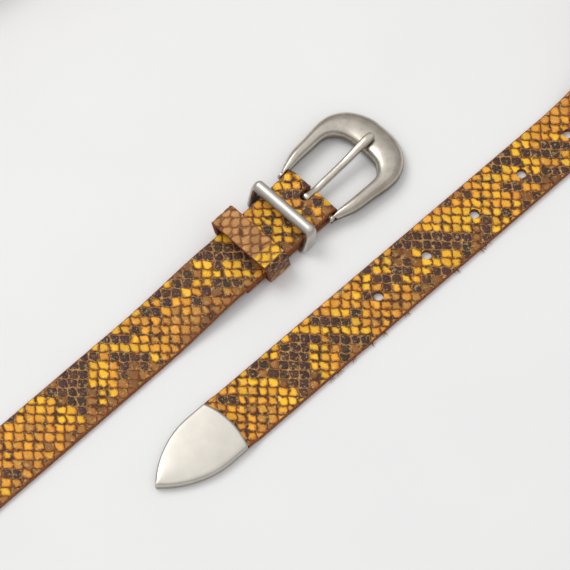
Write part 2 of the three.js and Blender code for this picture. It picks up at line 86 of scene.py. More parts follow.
# %% [markdown]
# ## Meshes from arrays
# Every piece below is a surface on a grid: rings of points, with the same number of points in each
# ring. Working the points out as whole arrays and handing them to the mesh at once is much faster
# than adding one vertex after another. A grid closes on itself round each ring, and its two ends
# are either joined to each other or covered by a fan of triangles.

# %% Helpers for grids
def smooth(value, start, end):
    """Eased step from 0 at start to 1 at end: three t squared less two t cubed."""
    t = np.clip((np.asarray(value, float) - start) / (end - start), 0, 1)
    return t * t * (3 - 2 * t)


def unit(vectors):
    """Each vector divided by its own length."""
    return vectors / np.linalg.norm(vectors, axis=-1, keepdims=True)


def grid_faces(rings, sides, joined):
    """Quads between neighbouring points of neighbouring rings, as indices into the flat grid."""
    ring = np.arange(rings if joined else rings - 1)[:, None]
    side = np.arange(sides)[None, :]
    after = (ring + 1) % rings
    beside = (side + 1) % sides
    corners = [ring * sides + side, ring * sides + beside, after * sides + beside, after * sides + side]
    return np.stack(np.broadcast_arrays(*corners), -1).reshape(-1, 4)


def signed_volume(points, faces):
    """Sum over the triangles of each polygon of the corner's triple product, over six."""
    total = 0.0
    for first, second in ((1, 2), (2, 3)):
        triangle = points[faces[:, [0, first, second]]]
        crossed = np.cross(triangle[:, 1], triangle[:, 2])
        total += np.einsum("ij,ij->", triangle[:, 0], crossed) / 6
    return total


def new_piece(name, points, polygons):
    """A mesh object at the origin from points in millimetres and a list of polygons."""
    mesh = bpy.data.meshes.new(name)
    mesh.from_pydata((points * MM).tolist(), [], polygons)
    mesh.update()
    mesh.polygons.foreach_set("use_smooth", np.ones(len(mesh.polygons), bool))
    piece = bpy.data.objects.new(name, mesh)
    bpy.context.scene.collection.objects.link(piece)
    return piece


def loft(rings, joined=False):
    """Points, quads and end triangles of a closed surface from rings: rings x sides x 3."""
    count, sides = rings.shape[:2]
    points = rings.reshape(-1, 3)
    quads = grid_faces(count, sides, joined)
    order = -1 if signed_volume(points - points.mean(0), quads) < 0 else 1
    if joined:
        return points, quads[:, ::order], np.zeros((0, 3), int)
    middles = np.stack([rings[0].mean(0), rings[-1].mean(0)])
    side = np.arange(sides)
    beside = (side + 1) % sides
    last = (count - 1) * sides
    first_fan = np.stack([beside, side, np.full(sides, len(points))], -1)
    last_fan = np.stack([last + side, last + beside, np.full(sides, len(points) + 1)], -1)
    fans = np.concatenate([first_fan, last_fan])
    return np.concatenate([points, middles]), quads[:, ::order], fans[:, ::order]


def together(name, surfaces):
    """One piece from several closed surfaces, put one after the other."""
    starts = np.cumsum([0] + [len(points) for points, _, _ in surfaces])
    points = np.concatenate([surface[0] for surface in surfaces])
    quads = np.concatenate([surface[1] + start for surface, start in zip(surfaces, starts)])
    fans = np.concatenate([surface[2] + start for surface, start in zip(surfaces, starts)])
    return new_piece(name, points, quads.tolist() + fans.tolist())


def lofted(name, rings, joined=False):
    """A closed piece from rings of points."""
    return together(name, [loft(rings, joined)])


def attribute(piece, name, values, domain="POINT"):
    """A value, or a colour with its alpha, for each vertex or each face corner of a piece."""
    kind, field = ("FLOAT", "value") if values.ndim == 1 else ("FLOAT_COLOR", "color")
    layer = piece.data.attributes.new(name, kind, domain)
    layer.data.foreach_set(field, np.ascontiguousarray(values, np.float32).ravel())


def measure(piece):
    """Prints a piece's size in millimetres and how many polygons it has."""
    corners = np.array(piece.bound_box) / MM
    size = corners.max(0) - corners.min(0)
    print(piece.name, "measures", size.round(1), "mm, with", len(piece.data.polygons), "polygons")


# %% [markdown]
# ## Colours and node helpers
# Colours are easiest to read off a screen as sRGB hex values, but Blender mixes light in linear
# numbers, so one function turns one into the other. One more function adds a node, sets what it is
# given and links its inputs, which keeps each material down to the ideas in it.

# %% Helpers for colours and nodes
def linear(code):
    """The sRGB curve undone: below 0.04045 a straight line, above it a power of 2.4."""
    channels = np.array([int(code[at:at + 2], 16) for at in (1, 3, 5)]) / 255
    curve = np.where(channels <= 0.04045, channels / 12.92, ((channels + 0.055) / 1.055) ** 2.4)
    return (*curve.tolist(), 1.0)


def add_node(tree, kind, inputs=(), output=0, **settings):
    """Adds a node, sets and links its inputs, and returns one of its outputs. An input is a
    socket to link or a constant value."""
    node = tree.nodes.new("ShaderNode" + kind)
    for key, value in settings.items():
        setattr(node, key, value)
    for key, value in dict(inputs).items():
        if isinstance(value, bpy.types.NodeSocket):
            tree.links.new(value, node.inputs[key])
        else:
            node.inputs[key].default_value = value
    return node.outputs[output]


def new_material(name, **sockets):
    """A material with a Principled shader and the constant values of its sockets."""
    material = bpy.data.materials.new(name)
    material.use_nodes = True
    tree = material.node_tree
    shader = tree.nodes["Principled BSDF"]
    for key, value in sockets.items():
        shader.inputs[key.replace("_", " ")].default_value = value
    return material, tree, shader


def connect(tree, shader, **results):
    """Links results to the sockets of the shader that they are named for."""
    for key, value in results.items():
        tree.links.new(value, shader.inputs[key.replace("_", " ")])


# %% [markdown]
# ## The route of the strap
# The strap is a long flat ribbon whose place on the table is known from its arc length: how far it
# has run from the bar of the buckle. Each stretch says how far it runs, how much it turns and how
# far it has banked over at its end. Between the two flat stretches of the picture the strap stands
# on its edge and sweeps round, as a belt does when it is laid down loosely coiled.

# %% Stretches of the route
ROUTE = np.array([
    (14, 0, 0),
    (32, -1.5, 0),
    (46, 0, 0),
    (92, 0, 0),
    (36, 0, -55),
    (28, -20, -90),
    (56, -103.2, -90),
    (570.9, -126.65, -90),
    (56, -90.8, -90),
    (28, -20, -55),
    (36, 0, 0),
    (237.6, 0, 0),
], dtype=[("length", float), ("turn", float), ("roll", float)])
KNOTS = np.concatenate([[0], np.cumsum(ROUTE["length"])])
HEADINGS = 180 + np.concatenate([[0], np.cumsum(ROUTE["turn"])])
ROLLS = np.concatenate([[0], ROUTE["roll"]])
TIP_AT = KNOTS[-1]
EASE = np.arange(-16, 17, 2)


def eased(values, s):
    """Mean of the piecewise straight values at points spread 16 mm to both sides of s."""
    return np.mean([np.interp(s + offset, KNOTS, values) for offset in EASE], axis=0)


PLAN_S = np.arange(0, TIP_AT + 2)
plan_turns = np.radians(eased(HEADINGS, PLAN_S[1:] - 0.5))
PLAN_X = np.concatenate([[0], np.cumsum(np.cos(plan_turns))])
PLAN_Y = np.concatenate([[0], np.cumsum(np.sin(plan_turns))])


def plan(s):
    """Place on the table, from the bar, after running s: the sum of the 1 mm steps so far."""
    return np.interp(s, PLAN_S, PLAN_X), np.interp(s, PLAN_S, PLAN_Y)


print("strap from bar to tip:", TIP_AT, "mm; the tip lies at", np.round(plan(TIP_AT), 1), "from the bar")

# %% [markdown]
# ## The leather of the strap
# A 1 inch strap is cut from one hide about 2.4 mm thick and skived a little where it folds. Its
# cross-section is a rectangle whose long corners are rubbed round. Where it enters the cap it is
# cut narrower, so that cap and strap are flush. All of it is worked out here for an array of places
# along the strap at once.

# %% Width, thickness and height of the strap
GAP = 0.3
STRAP_WIDTH = 25.4
STRAP_THICK = 2.4
FOLD_THICK = 2.2
UNDER_BOTTOM = 1.8
UPPER_BOTTOM = 4.3
LEVEL_TO = 46
ON_TABLE_FROM = 92
CAP = {
    "length": 36.5, "arch": 28, "half_width": 12.7, "thick": 4.4, "wall": 0.7, "bulge": 2.4,
    "point": 0.4, "corner": 1.1,
}
TAIL = {"thick": 2.2, "taper": 5, "end": 4.5, "shoulder": 37.1}


def arch_half_width(distance):
    """Half the cap's width: a circle's arc that is tangent to the straight sides after the arch."""
    rise = CAP["half_width"] - CAP["point"]
    radius = (CAP["arch"] ** 2 + rise ** 2) / (2 * rise)
    before = np.maximum(CAP["arch"] - distance, 0)
    return CAP["half_width"] - radius + np.sqrt(radius ** 2 - before ** 2)


def strap_size(s):
    """Width, thickness and height of the underside at arc length s."""
    from_tip = TIP_AT - s
    in_cap = 1 - smooth(from_tip - CAP["length"] - CAP["bulge"], 0, TAIL["taper"])
    tail_width = 2 * (arch_half_width(from_tip) - CAP["wall"] - GAP)
    width = np.where(from_tip < TAIL["shoulder"], tail_width, STRAP_WIDTH)
    thick = STRAP_THICK + (TAIL["thick"] - STRAP_THICK) * in_cap
    lowered = smooth(s, LEVEL_TO, ON_TABLE_FROM)
    lift = UPPER_BOTTOM * (1 - lowered) + (CAP["thick"] - TAIL["thick"]) / 2 * in_cap
    return width, thick, lift


# %% [markdown]
# ## The fold round the bar
# Behind the buckle the strap lies in two layers, and a tight half circle round the bar joins them.
# The rings of the strap therefore start under the loops, run to the bar, go round it and come back
# on top. The arc length along the printed side goes on counting down below zero there, so that the
# print runs round the fold without a seam.

# %% Rings of the strap
BAR_RADIUS = 1.2
FOLD_SLACK = 0.45
FOLD_AHEAD = 0.6
FOLD_RADIUS = BAR_RADIUS + FOLD_SLACK + FOLD_THICK / 2
FOLD_STEPS = 26
LOW_RUN_STEPS = 14
TOP_RUN_STEPS = 24
TAIL_STEPS = 12
HAIR = 0.001
LEVEL_FROM = 14
FINE_STEP = 0.6
COARSE_STEP = 1.1
SHOWN_TO = 200
SHOWN_FROM = 1008


def touch_angle(height, side):
    """Where a straight layer that ends at LEVEL_FROM touches the fold's circle, in radians."""
    reach = LEVEL_FROM + FOLD_AHEAD
    spread = math.acos(FOLD_RADIUS / math.hypot(reach, height))
    return math.atan2(height, -reach) - side * spread


def fold_middles():
    """Middle line of the under layer, the half circle and the straight run to the route."""
    under_s = np.arange(LEVEL_TO, LEVEL_FROM, -1)
    x, y = plan(under_s)
    under_height = UNDER_BOTTOM + FOLD_THICK / 2
    under = np.stack([x, y, np.full(len(x), under_height)], -1)
    top_height = UPPER_BOTTOM + STRAP_THICK / 2 - BAR[2]
    start = touch_angle(under_height - BAR[2], -1)
    angle = np.linspace(start, touch_angle(top_height, 1), FOLD_STEPS)
    circle_x = FOLD_AHEAD + FOLD_RADIUS * np.cos(angle)
    circle = np.stack([circle_x, 0 * angle, BAR[2] + FOLD_RADIUS * np.sin(angle)], -1)
    low_run = np.linspace((-LEVEL_FROM, 0, under_height), circle[0], LOW_RUN_STEPS)[:-1]
    top_end = (-LEVEL_FROM, 0, top_height + BAR[2])
    top_run = np.linspace(circle[-1], top_end, TOP_RUN_STEPS)[1:-1]
    return np.concatenate([under, low_run, circle, top_run])


fold = fold_middles()
s_fine = np.arange(LEVEL_FROM, SHOWN_TO, FINE_STEP)
s_hidden = np.arange(SHOWN_TO, SHOWN_FROM, COARSE_STEP)
s_tip = np.arange(SHOWN_FROM, TIP_AT - TAIL["shoulder"], FINE_STEP)
shoulder_s = TIP_AT - TAIL["shoulder"]
tail_share = np.sin(np.linspace(HAIR, 1, TAIL_STEPS) * math.pi / 2)
s_tail = shoulder_s + (TAIL["shoulder"] - TAIL["end"]) * tail_share
s_route = np.concatenate([s_fine, s_hidden, s_tip, [shoulder_s - HAIR], s_tail])
route_x, route_y = plan(s_route)
route_width, route_thick, route_lift = strap_size(s_route)
route_roll = np.radians(eased(ROLLS, s_route))
edge_rise = route_width / 2 * np.abs(np.sin(route_roll))
route_z = route_lift + edge_rise + route_thick / 2 * np.cos(route_roll)

middle = np.concatenate([fold, np.stack([route_x, route_y, route_z], -1)])
run = np.concatenate([[0], np.cumsum(np.linalg.norm(np.diff(middle, axis=0), axis=1))])
strap_s = run - run[len(fold)] + LEVEL_FROM
strap_s[len(fold):] = s_route
heading = np.concatenate([np.full(len(fold), math.pi), np.radians(eased(HEADINGS, s_route))])
roll = np.concatenate([np.zeros(len(fold)), route_roll])
width = np.concatenate([np.full(len(fold), STRAP_WIDTH), route_width])
thick = np.concatenate([np.full(len(fold), FOLD_THICK), route_thick])
print("rings of the strap:", len(middle))

# %% [markdown]
# ## Scales: where they are
# Python scales sit in a diamond net, its two sets of grooves at 45 degrees to the strap. Two numbers
# say where a point is in that net: one counts the grooves of one set, the other those of the other
# set. The embossing roller leans a little against the strap, so the net drifts sideways along it.

# %% The diamond net of scales
COLUMN_PITCH = 5.635
ROW_PITCH = 5.487
DRIFT = 0.00544
DRIFT_FROM = 1145.9
COLUMN_START = 0.28
ROW_START = 0.5
BOW = 0.1
SLANT = 0.22
ROW_WAVE_RATIO = 1.3
CUSHION_FLAT = 0.62
WAVES = np.array([
    (0.93, 0.41, 0.3, 0.035),
    (-0.57, 0.88, 2.1, 0.04),
    (1.31, -0.72, 4.4, 0.03),
    (0.29, 1.47, 1.2, 0.03),
], dtype=[("along", float), ("across", float), ("start", float), ("height", float)])


def net(s, w):
    """Counts of the grooves crossed: (s - w - twice the drift) and (s + w), over their pitches.
    A sum of sine waves bends the net a little, because no two scales are of one size."""
    drift = DRIFT * (DRIFT_FROM - s)
    phase = WAVES["along"] * s[..., None] + WAVES["across"] * w[..., None] + WAVES["start"]
    column_wave = (WAVES["height"] * np.sin(phase)).sum(-1)
    row_wave = (WAVES["height"] * np.cos(ROW_WAVE_RATIO * phase)).sum(-1)
    column = (s - w - 2 * drift) / COLUMN_PITCH - COLUMN_START
    return column + column_wave, (s + w) / ROW_PITCH - ROW_START + row_wave


def scale_middle_across(column, row):
    """Sideways place of a scale's middle on the print roller, from its two counts."""
    difference = (column + 0.5 + COLUMN_START) * COLUMN_PITCH
    total = (row + 0.5 + ROW_START) * ROW_PITCH
    s = (difference + total + 2 * DRIFT * DRIFT_FROM) / (2 + 2 * DRIFT)
    return total - s + DRIFT * (DRIFT_FROM - s)


def bent(column, row):
    """Counts after each scale is bowed by a parabola and slanted: real scales are leaning shields."""
    row = row + BOW * ((2 * (column % 1) - 1) ** 2 - 1 / 3)
    return column + SLANT * (row % 1 - 0.5), row


def emboss(column, row):
    """Depth below a scale's top, 0 to 1: a rounded square's distance from the scale's middle."""
    column, row = bent(column, row)
    across = np.abs(2 * (column % 1) - 1)
    along = np.abs(2 * (row % 1) - 1)
    return smooth((across ** 4 + along ** 4) ** 0.25, CUSHION_FLAT, 1.0)


# %% [markdown]
# ## Scales: what colour they are
# The print follows a python's skin: dark blotches with yellow chains between them, on a mustard
# ground. It repeats every 38 rows. The chart has one word for each row of scales and one letter for
# each scale across the strap, as a knitting chart has: Y yellow, M mustard, O orange brown, T tan,
# B brown and D dark. No two scales took the ink alike, so chance mixes some of the next darker kind
# into each and makes it a little paler or deeper.

# %% The chart of the print
CHART = (
    "BDMMYMOBDYB DMMYYMMYDMB OMYYYYYDMYB MYYYYYDYYMB MYYYYYBDYYB DDDDDDDBDDB DDDDDDDDBDB "
    "MBBYYDYYDBB OYBDBYYYYYO DYYDDYYDDDB MYDDDYMDBTB MMYMDMMDBTB OMYDDMTMTTB MMMMOMOTTTB "
    "OMYYDMOMOOB MDDDDYMOMOB YYYYYYYYMMO YDDDODDDDYO YDDDYYODBDB YYDDDYYMDBB DDBDDDYYMBB "
    "YDBDDDDBYYB MYYYYBDDBYB MMYMYMYYDBB ODDMMMMYYYB MOOMMTMOMOB OMOOMOMOOMB OMOOMOMOBOB "
    "MOOMOMOOOMB OOMOOMOOBOB MMOMMOMDDOB YMMYMDDDMOB YYMDDDDMYYB DYDDDDMYYMB DDDYYMMYDBB "
    "MDYYYYDDDBB MYYYMDDBBMB OMYMDDMMBOB"
).split()
FIRST_LETTER = -4
LETTERS = "YMOTBD"
INKS = np.array([
    linear(code) for code in ("#FAC222", "#F2AC28", "#E49A2C", "#CC943A", "#AA7430", "#34201C")
])
DARK_TINTS = np.array([linear(code) for code in ("#40201C", "#3A2416", "#54301C", "#482426")])
DARKNESS = np.array([0, 0, 0.1, 0.3, 0.4, 1.0])
TO_NEXT_KIND = 0.55
TINT_SHARE = 0.75
SHADE_FROM = 0.86
SHADE_SPREAD = 0.36
CHANCE_SIZE = 64
DARK = LETTERS.index("D")
KINDS = np.array([[LETTERS.index(letter) for letter in row] for row in CHART])
CHANCE = np.random.default_rng(38).random((CHANCE_SIZE, CHANCE_SIZE, 3))


def printed(column, row):
    """Colour and darkness at a place of the net, from the chart and a little chance per scale."""
    column, row = bent(column, row)
    i, j = np.floor(column).astype(int), np.floor(row).astype(int)
    across = scale_middle_across(i, j) / (COLUMN_PITCH / 2)
    letter = np.clip(np.round(across).astype(int) - FIRST_LETTER, 0, len(CHART[0]) - 1)
    kind = KINDS[j % len(CHART), letter]
    chance = CHANCE[i % CHANCE_SIZE, j % CHANCE_SIZE]
    neighbour = np.minimum(kind + 1, DARK)
    share = chance[..., :1] * TO_NEXT_KIND * (kind < DARK)[..., None]
    ink = INKS[kind] * (1 - share) + INKS[neighbour] * share
    tint = DARK_TINTS[(chance[..., 2] * len(DARK_TINTS)).astype(int)]
    dark_share = TINT_SHARE * (kind == DARK)[..., None]
    ink = ink * (1 - dark_share) + tint * dark_share
    ink[..., :3] *= SHADE_FROM + SHADE_SPREAD * chance[..., 1:2]
    return ink, DARKNESS[kind]


print("the print repeats after", len(CHART), "rows, about", round(len(CHART) * ROW_PITCH, 1), "mm")

# %% [markdown]
# ## The strap's surface
# The profile of the strap is carried along its rings: many points across the printed side, so that
# each scale is a real low cushion, a few on each cut edge, and a few below. The grooves are pressed
# into the printed side, and the cut edges are left a little fibrous, as a blade leaves them.

# %% Carry the profile along the rings
TOP_POINTS = 39
CORNER = 0.45
GROOVE_DEPTH = 0.28
EDGE_FRAY = 0.05
UNDER_SHARES = np.linspace(1, -1, 5)
EDGE_HEIGHTS = np.array([0.62, 0.0, -0.62])

steps = [[middle[1] - middle[0]], middle[2:] - middle[:-2], [middle[-1] - middle[-2]]]
travel = unit(np.concatenate(steps))
level = np.stack([-np.sin(heading), np.cos(heading), 0 * heading], -1)
across = level * np.cos(roll)[:, None] + np.array([0, 0, 1]) * np.sin(roll)[:, None]
outward = unit(np.cross(travel, across))

flat_half = (width / 2 - CORNER)[:, None]
half = (width / 2)[:, None]
deep = (thick / 2)[:, None]
top_w = flat_half * np.linspace(-1, 1, TOP_POINTS)
top_column, top_row = net(*np.broadcast_arrays(strap_s[:, None], top_w))
top_out = deep - GROOVE_DEPTH * emboss(top_column, top_row)
fray = np.random.default_rng(5).normal(0, EDGE_FRAY, (2, len(middle), len(EDGE_HEIGHTS)))
right_w = half + 0 * EDGE_HEIGHTS - np.abs(fray[0])
left_w = -half + 0 * EDGE_HEIGHTS + np.abs(fray[1])
edge_out = deep * EDGE_HEIGHTS
under_w = flat_half * UNDER_SHARES
under_out = -deep + 0 * UNDER_SHARES
profile_w = np.concatenate([top_w, right_w, under_w, left_w[:, ::-1]], 1)
profile_out = np.concatenate([top_out, edge_out, under_out, edge_out[:, ::-1]], 1)
strap_rings = (
    middle[:, None] + across[:, None] * profile_w[..., None] + outward[:, None] * profile_out[..., None]
)
strap_rings[..., :2] += BAR[:2]
strap = lofted("strap_leather", strap_rings)
measure(strap)

# %% [markdown]
# ## What each point knows
# The print is drawn by the material, but the material has to know where it is on the leather. So
# each vertex keeps its two counts in the net as a UV map, and its ink and darkness from the chart.
# Each face is told whether it is printed grain, cut edge or the flesh side beneath.

# %% Net, ink and darkness on the strap
PRINT_HALF_WIDTH = 12.3


def keep_print(piece, column, row, ink, dark):
    """UV map of the net counts and the attributes ink and dark, kept at the corners of faces."""
    corners = np.zeros(len(piece.data.loops), np.int32)
    piece.data.loops.foreach_get("vertex_index", corners)
    attribute(piece, "ink", ink[corners], "CORNER")
    attribute(piece, "dark", dark[corners], "CORNER")
    counts = np.stack([column, row], -1)[corners]
    piece.data.uv_layers.new(name="net").data.foreach_set("uv", counts.astype(np.float32).ravel())


def with_ends(values):
    """A value for each grid point, and the first and last ring's mean for the two end fans."""
    ends = np.stack([values[0].mean(0), values[-1].mean(0)])
    return np.concatenate([values.reshape(-1, *values.shape[2:]), ends])


print_w = np.clip(profile_w, -PRINT_HALF_WIDTH, PRINT_HALF_WIDTH)
strap_column, strap_row = net(*np.broadcast_arrays(strap_s[:, None], print_w))
strap_ink, strap_dark = printed(strap_column, strap_row)
keep_print(strap, *map(with_ends, (strap_column, strap_row, strap_ink, strap_dark)))

GRAIN, CUT, FLESH = 0, 1, 2
side_kind = np.full(profile_w.shape[1], CUT)
side_kind[:TOP_POINTS - 1] = GRAIN
under_from = TOP_POINTS + len(EDGE_HEIGHTS)
side_kind[under_from:under_from + len(UNDER_SHARES) - 1] = FLESH
face_kind = np.full(len(strap.data.polygons), CUT, np.int32)
face_kind[:len(side_kind) * (len(middle) - 1)] = np.tile(side_kind, len(middle) - 1)
strap.data.polygons.foreach_set("material_index", face_kind)
print("printed faces:", int((face_kind == GRAIN).sum()))

# %% [markdown]
# ## Punched holes and the slot
# The holes are punched right through with a round tube, and the slot for the tongue is cut into the
# fold before it is bent. Both are cut here the same way: one closed cutter is taken away from the
# strap by a Boolean modifier, which is then applied, and the walls that it leaves are cut edge.

# %% Cut the strap
HOLE_RADIUS = 2.1
FIRST_HOLE = 118.8
HOLE_PITCH = 26.6
HOLE_COUNT = 5
SLOT_RADIUS = 2.3
SLOT_END = -1.1
SLOT_OPEN_TO = 5.6
CUT_LOW = -2
HOLE_CUT_HIGH = 5
SLOT_CUT_HIGH = 14
ROUND_STEPS = 48


def circle_points(steps):
    """Points of a circle of radius 1: cosine and sine of equal angles."""
    angle = np.linspace(0, 2 * math.pi, steps, endpoint=False)
    return np.stack([np.cos(angle), np.sin(angle)], -1)


def upright(outline, low, high):
    """Two rings of the same outline at two heights."""
    flat = np.concatenate([outline, np.zeros((len(outline), 1))], 1)
    return np.stack([flat + (0, 0, low), flat + (0, 0, high)])


def apply_modifiers(piece):
    """Puts the result of a piece's modifiers into its mesh and takes the modifiers off."""
    graph = bpy.context.evaluated_depsgraph_get()
    cut = piece.evaluated_get(graph)
    made = bpy.data.meshes.new_from_object(cut, preserve_all_data_layers=True, depsgraph=graph)
    piece.modifiers.clear()
    piece.data = made


def combine(piece, others, operation):
    """Unites or subtracts closed pieces with a Boolean modifier, applies it and drops the others."""
    for other in others:
        tool = piece.modifiers.new("combine", "BOOLEAN")
        tool.operation = operation
        tool.solver = "EXACT"
        tool.object = other
    apply_modifiers(piece)
    for other in others:
        bpy.data.objects.remove(other)


circle = circle_points(ROUND_STEPS)
cutters = []
for number in range(HOLE_COUNT):
    centre = np.array(plan(TIP_AT - FIRST_HOLE - number * HOLE_PITCH)) + BAR[:2]
    punch = upright(centre + HOLE_RADIUS * circle, CUT_LOW, HOLE_CUT_HIGH)
    cutters.append(lofted("punch", punch))
half_turn = np.linspace(0.5, 1.5, 25) * math.pi
slot_round = np.stack([SLOT_END + SLOT_RADIUS * np.cos(half_turn), SLOT_RADIUS * np.sin(half_turn)], -1)
slot_outline = np.concatenate([[(SLOT_OPEN_TO, SLOT_RADIUS)], slot_round, [(SLOT_OPEN_TO, -SLOT_RADIUS)]])
cutters.append(lofted("slot_punch", upright(slot_outline + BAR[:2], CUT_LOW, SLOT_CUT_HIGH)))
for cutter in cutters:
    cutter.data.polygons.foreach_set("material_index", np.full(len(cutter.data.polygons), CUT, np.int32))

# %% [markdown]
# ## Finish: printed leather
# This is corrected-grain cowhide: embossed under a hot roller, printed, and given a clear satin top
# coat. The eye gets soft yellow and mustard cushions with thin dark lines between them, dark
# blotches that are crossed by worn tan grooves, and a low gloss that catches the scales' upper
# edges. The net of grooves comes from the UV map, one unit for each scale of about 4 mm, and the
# pores and the worn specks come from noise in real millimetres.

# %% Material: printed leather
PORE = 0.35
SPECK = 0.6
PATCH = 1.4
SMUDGE = 5.0
RAGGED = 0.07
SOFT_STEP = {"interpolation_type": "SMOOTHSTEP"}
COLOUR_MIX = {"data_type": "RGBA"}


def scale_places(add, place):
    """Signed distances from the middle of a scale between its columns and between its rows, from
    -0.5 to 0.5. The bow and the slant are those of the mesh: a parabola, then a shear."""
    wobble = add("TexNoise", {"Vector": place, "Scale": 1 / (PATCH * MM), "Detail": 3.0}, "Color")
    net_map = add("UVMap", uv_map="net")
    ragged = {0: wobble, 1: (2 * RAGGED, 2 * RAGGED, 0), 2: net_map}
    counts = add("VectorMath", ragged, operation="MULTIPLY_ADD")
    counts = add("VectorMath", {0: counts, 1: (RAGGED, RAGGED, 0)}, operation="SUBTRACT")
    column, row = add("SeparateXYZ", {0: counts}).node.outputs[:2]
    off = add("Math", {0: add("Math", {0: column}, operation="FRACT"), 1: 0.5}, operation="SUBTRACT")
    square = add("Math", {0: off, 1: off}, operation="MULTIPLY")
    row = add("Math", {0: square, 1: 4 * BOW, 2: row}, operation="MULTIPLY_ADD")
    row = add("Math", {0: row, 1: BOW / 3}, operation="SUBTRACT")
    row_off = add("Math", {0: add("Math", {0: row}, operation="FRACT"), 1: 0.5}, operation="SUBTRACT")
    column = add("Math", {0: row_off, 1: SLANT, 2: column}, operation="MULTIPLY_ADD")
    column_off = add("Math", {0: add("Math", {0: column}, operation="FRACT"), 1: 0.5}, operation="SUBTRACT")
    return column_off, row_off


def print_finish(name, line, worn, rim, pale, groove_share, **sockets):
    """Printed leather: ink by scale, browner rims with painted shade on lower sides, groove lines, specks,
    pores.
    """
    material, tree, shader = new_material(name, **sockets)
    add = functools.partial(add_node, tree)
    place = add("TexCoord", output="Object")
    pore, speck, patch, smudge = (
        add("TexNoise", {"Vector": place, "Scale": 1 / (size * MM), "Detail": 3.0, "Roughness": 0.65})
        for size in (PORE, SPECK, PATCH, SMUDGE)
    )
    ink = add("Attribute", attribute_name="ink")
    dark = add("Attribute", output="Fac", attribute_name="dark")
    column_off, row_off = scale_places(add, place)
    # Fourth root of the sum of fourth powers: distance from the middle of a rounded square
    powers = [add("Math", {0: off, 1: 4.0}, operation="POWER") for off in (column_off, row_off)]
    away = add("Math", {0: powers[0], 1: powers[1]}, operation="ADD")
    away = add("Math", {0: away, 1: 0.25}, operation="POWER")
    shade_side = add("Math", {0: row_off, 1: column_off}, operation="SUBTRACT")
    is_light = add("MapRange", {0: dark, 1: 0.3, 2: 0.9, 3: 1.0, 4: 0.0}, **SOFT_STEP)

    # Browner towards the rim, and most of all on each scale's lower right side: painted shade
    rim_and_painted_shade = add("MapRange", {0: away, 1: 0.2, 2: 0.44, 3: 0.0, 4: 0.95}, **SOFT_STEP)
    lower = add("MapRange", {0: shade_side, 1: -0.4, 2: 0.45, 3: 0.25, 4: 1.0}, **SOFT_STEP)
    for share in (lower, is_light):
        rim_and_painted_shade = add("Math", {0: rim_and_painted_shade, 1: share}, operation="MULTIPLY")

    # Groove ink that ran up the sides of some scales
    blot = add("MapRange", {0: smudge, 1: 0.5, 2: 0.6, 3: 0.0, 4: 0.85}, **SOFT_STEP)
    near_groove = add("MapRange", {0: away, 1: 0.15, 2: 0.42}, **SOFT_STEP)
    blot = add("Math", {0: blot, 1: near_groove}, operation="MULTIPLY")

    # The grooves: dark between light scales, worn tan between dark ones, and broken here and there
    broken = add("MapRange", {0: patch, 1: 0.35, 2: 0.55, 3: 0.35, 4: groove_share}, **SOFT_STEP)
    groove = add("MapRange", {0: away, 1: 0.41, 2: 0.475}, **SOFT_STEP)
    groove = add("Math", {0: groove, 1: broken}, operation="MULTIPLY")
    groove_ink = add("Mix", {0: is_light, 6: worn, 7: line}, 2, **COLOUR_MIX)

    # Dark specks near the grooves, worn specks on dark scales, and pale rubbed patches
    dark_speck = add("MapRange", {0: speck, 1: 0.57, 2: 0.66, 3: 0.0, 4: 0.6}, **SOFT_STEP)
    speck_place = add("MapRange", {0: away, 1: 0.1, 2: 0.4, 3: 0.15, 4: 1.0}, **SOFT_STEP)
    dark_speck = add("Math", {0: dark_speck, 1: speck_place}, operation="MULTIPLY")
    worn_share = add("MapRange", {0: speck, 1: 0.44, 2: 0.33, 3: 0.0, 4: 0.5}, **SOFT_STEP)
    worn_share = add("Math", {0: worn_share, 1: dark}, operation="MULTIPLY")
    rubbed = add("MapRange", {0: patch, 1: 0.56, 2: 0.66, 3: 0.0, 4: 0.3}, **SOFT_STEP)

    # Each layer is mixed over those before it, and the pores shade them all
    layers = (
        (rim_and_painted_shade, rim), (blot, line), (groove, groove_ink), (dark_speck, line),
        (worn_share, worn), (rubbed, pale),
    )
    toned = ink
    for share, colour in layers:
        toned = add("Mix", {0: share, 6: toned, 7: colour}, 2, **COLOUR_MIX)
    shade = add("MapRange", {0: pore, 1: 0.3, 2: 0.7, 3: 0.72, 4: 1.25})
    toned = add("Mix", {0: 1.0, 6: toned, 7: shade}, 2, blend_type="MULTIPLY", **COLOUR_MIX)

    gloss = add("MapRange", {0: speck, 1: 0.3, 2: 0.7, 3: 0.36, 4: 0.54})
    rise = add("MapRange", {0: away, 1: 0.36, 2: 0.5, 3: 0.0, 4: -1.0}, **SOFT_STEP)
    rise = add("Math", {0: pore, 1: 0.7, 2: rise}, operation="MULTIPLY_ADD")
    bump = add("Bump", {"Strength": 0.9, "Distance": 0.25 * MM, "Height": rise})
    connect(tree, shader, Base_Color=toned, Roughness=gloss, Normal=bump)
    return material


# rim is the brown of the scales' rims and of the painted shade on their lower sides
strap_leather = print_finish(
    "printed_corrected_grain_cowhide",
    line=linear("#46200E"), worn=linear("#B4824A"), rim=linear("#B4601A"), pale=linear("#FBE08C"),
    groove_share=0.95, Coat_Weight=0.06, Coat_Roughness=0.35, Specular_IOR_Level=0.3,
)
print("scales are about", round(COLUMN_PITCH / math.sqrt(2), 1), "mm wide")

# %% [markdown]
# ## Finish: cut edge and flesh side
# Where the blade went through, the hide shows its fibres. The edge was dyed red-brown and rubbed,
# so it is matt with short darker and paler streaks. The flesh side is suede: a brown nap that has
# no gloss at all.

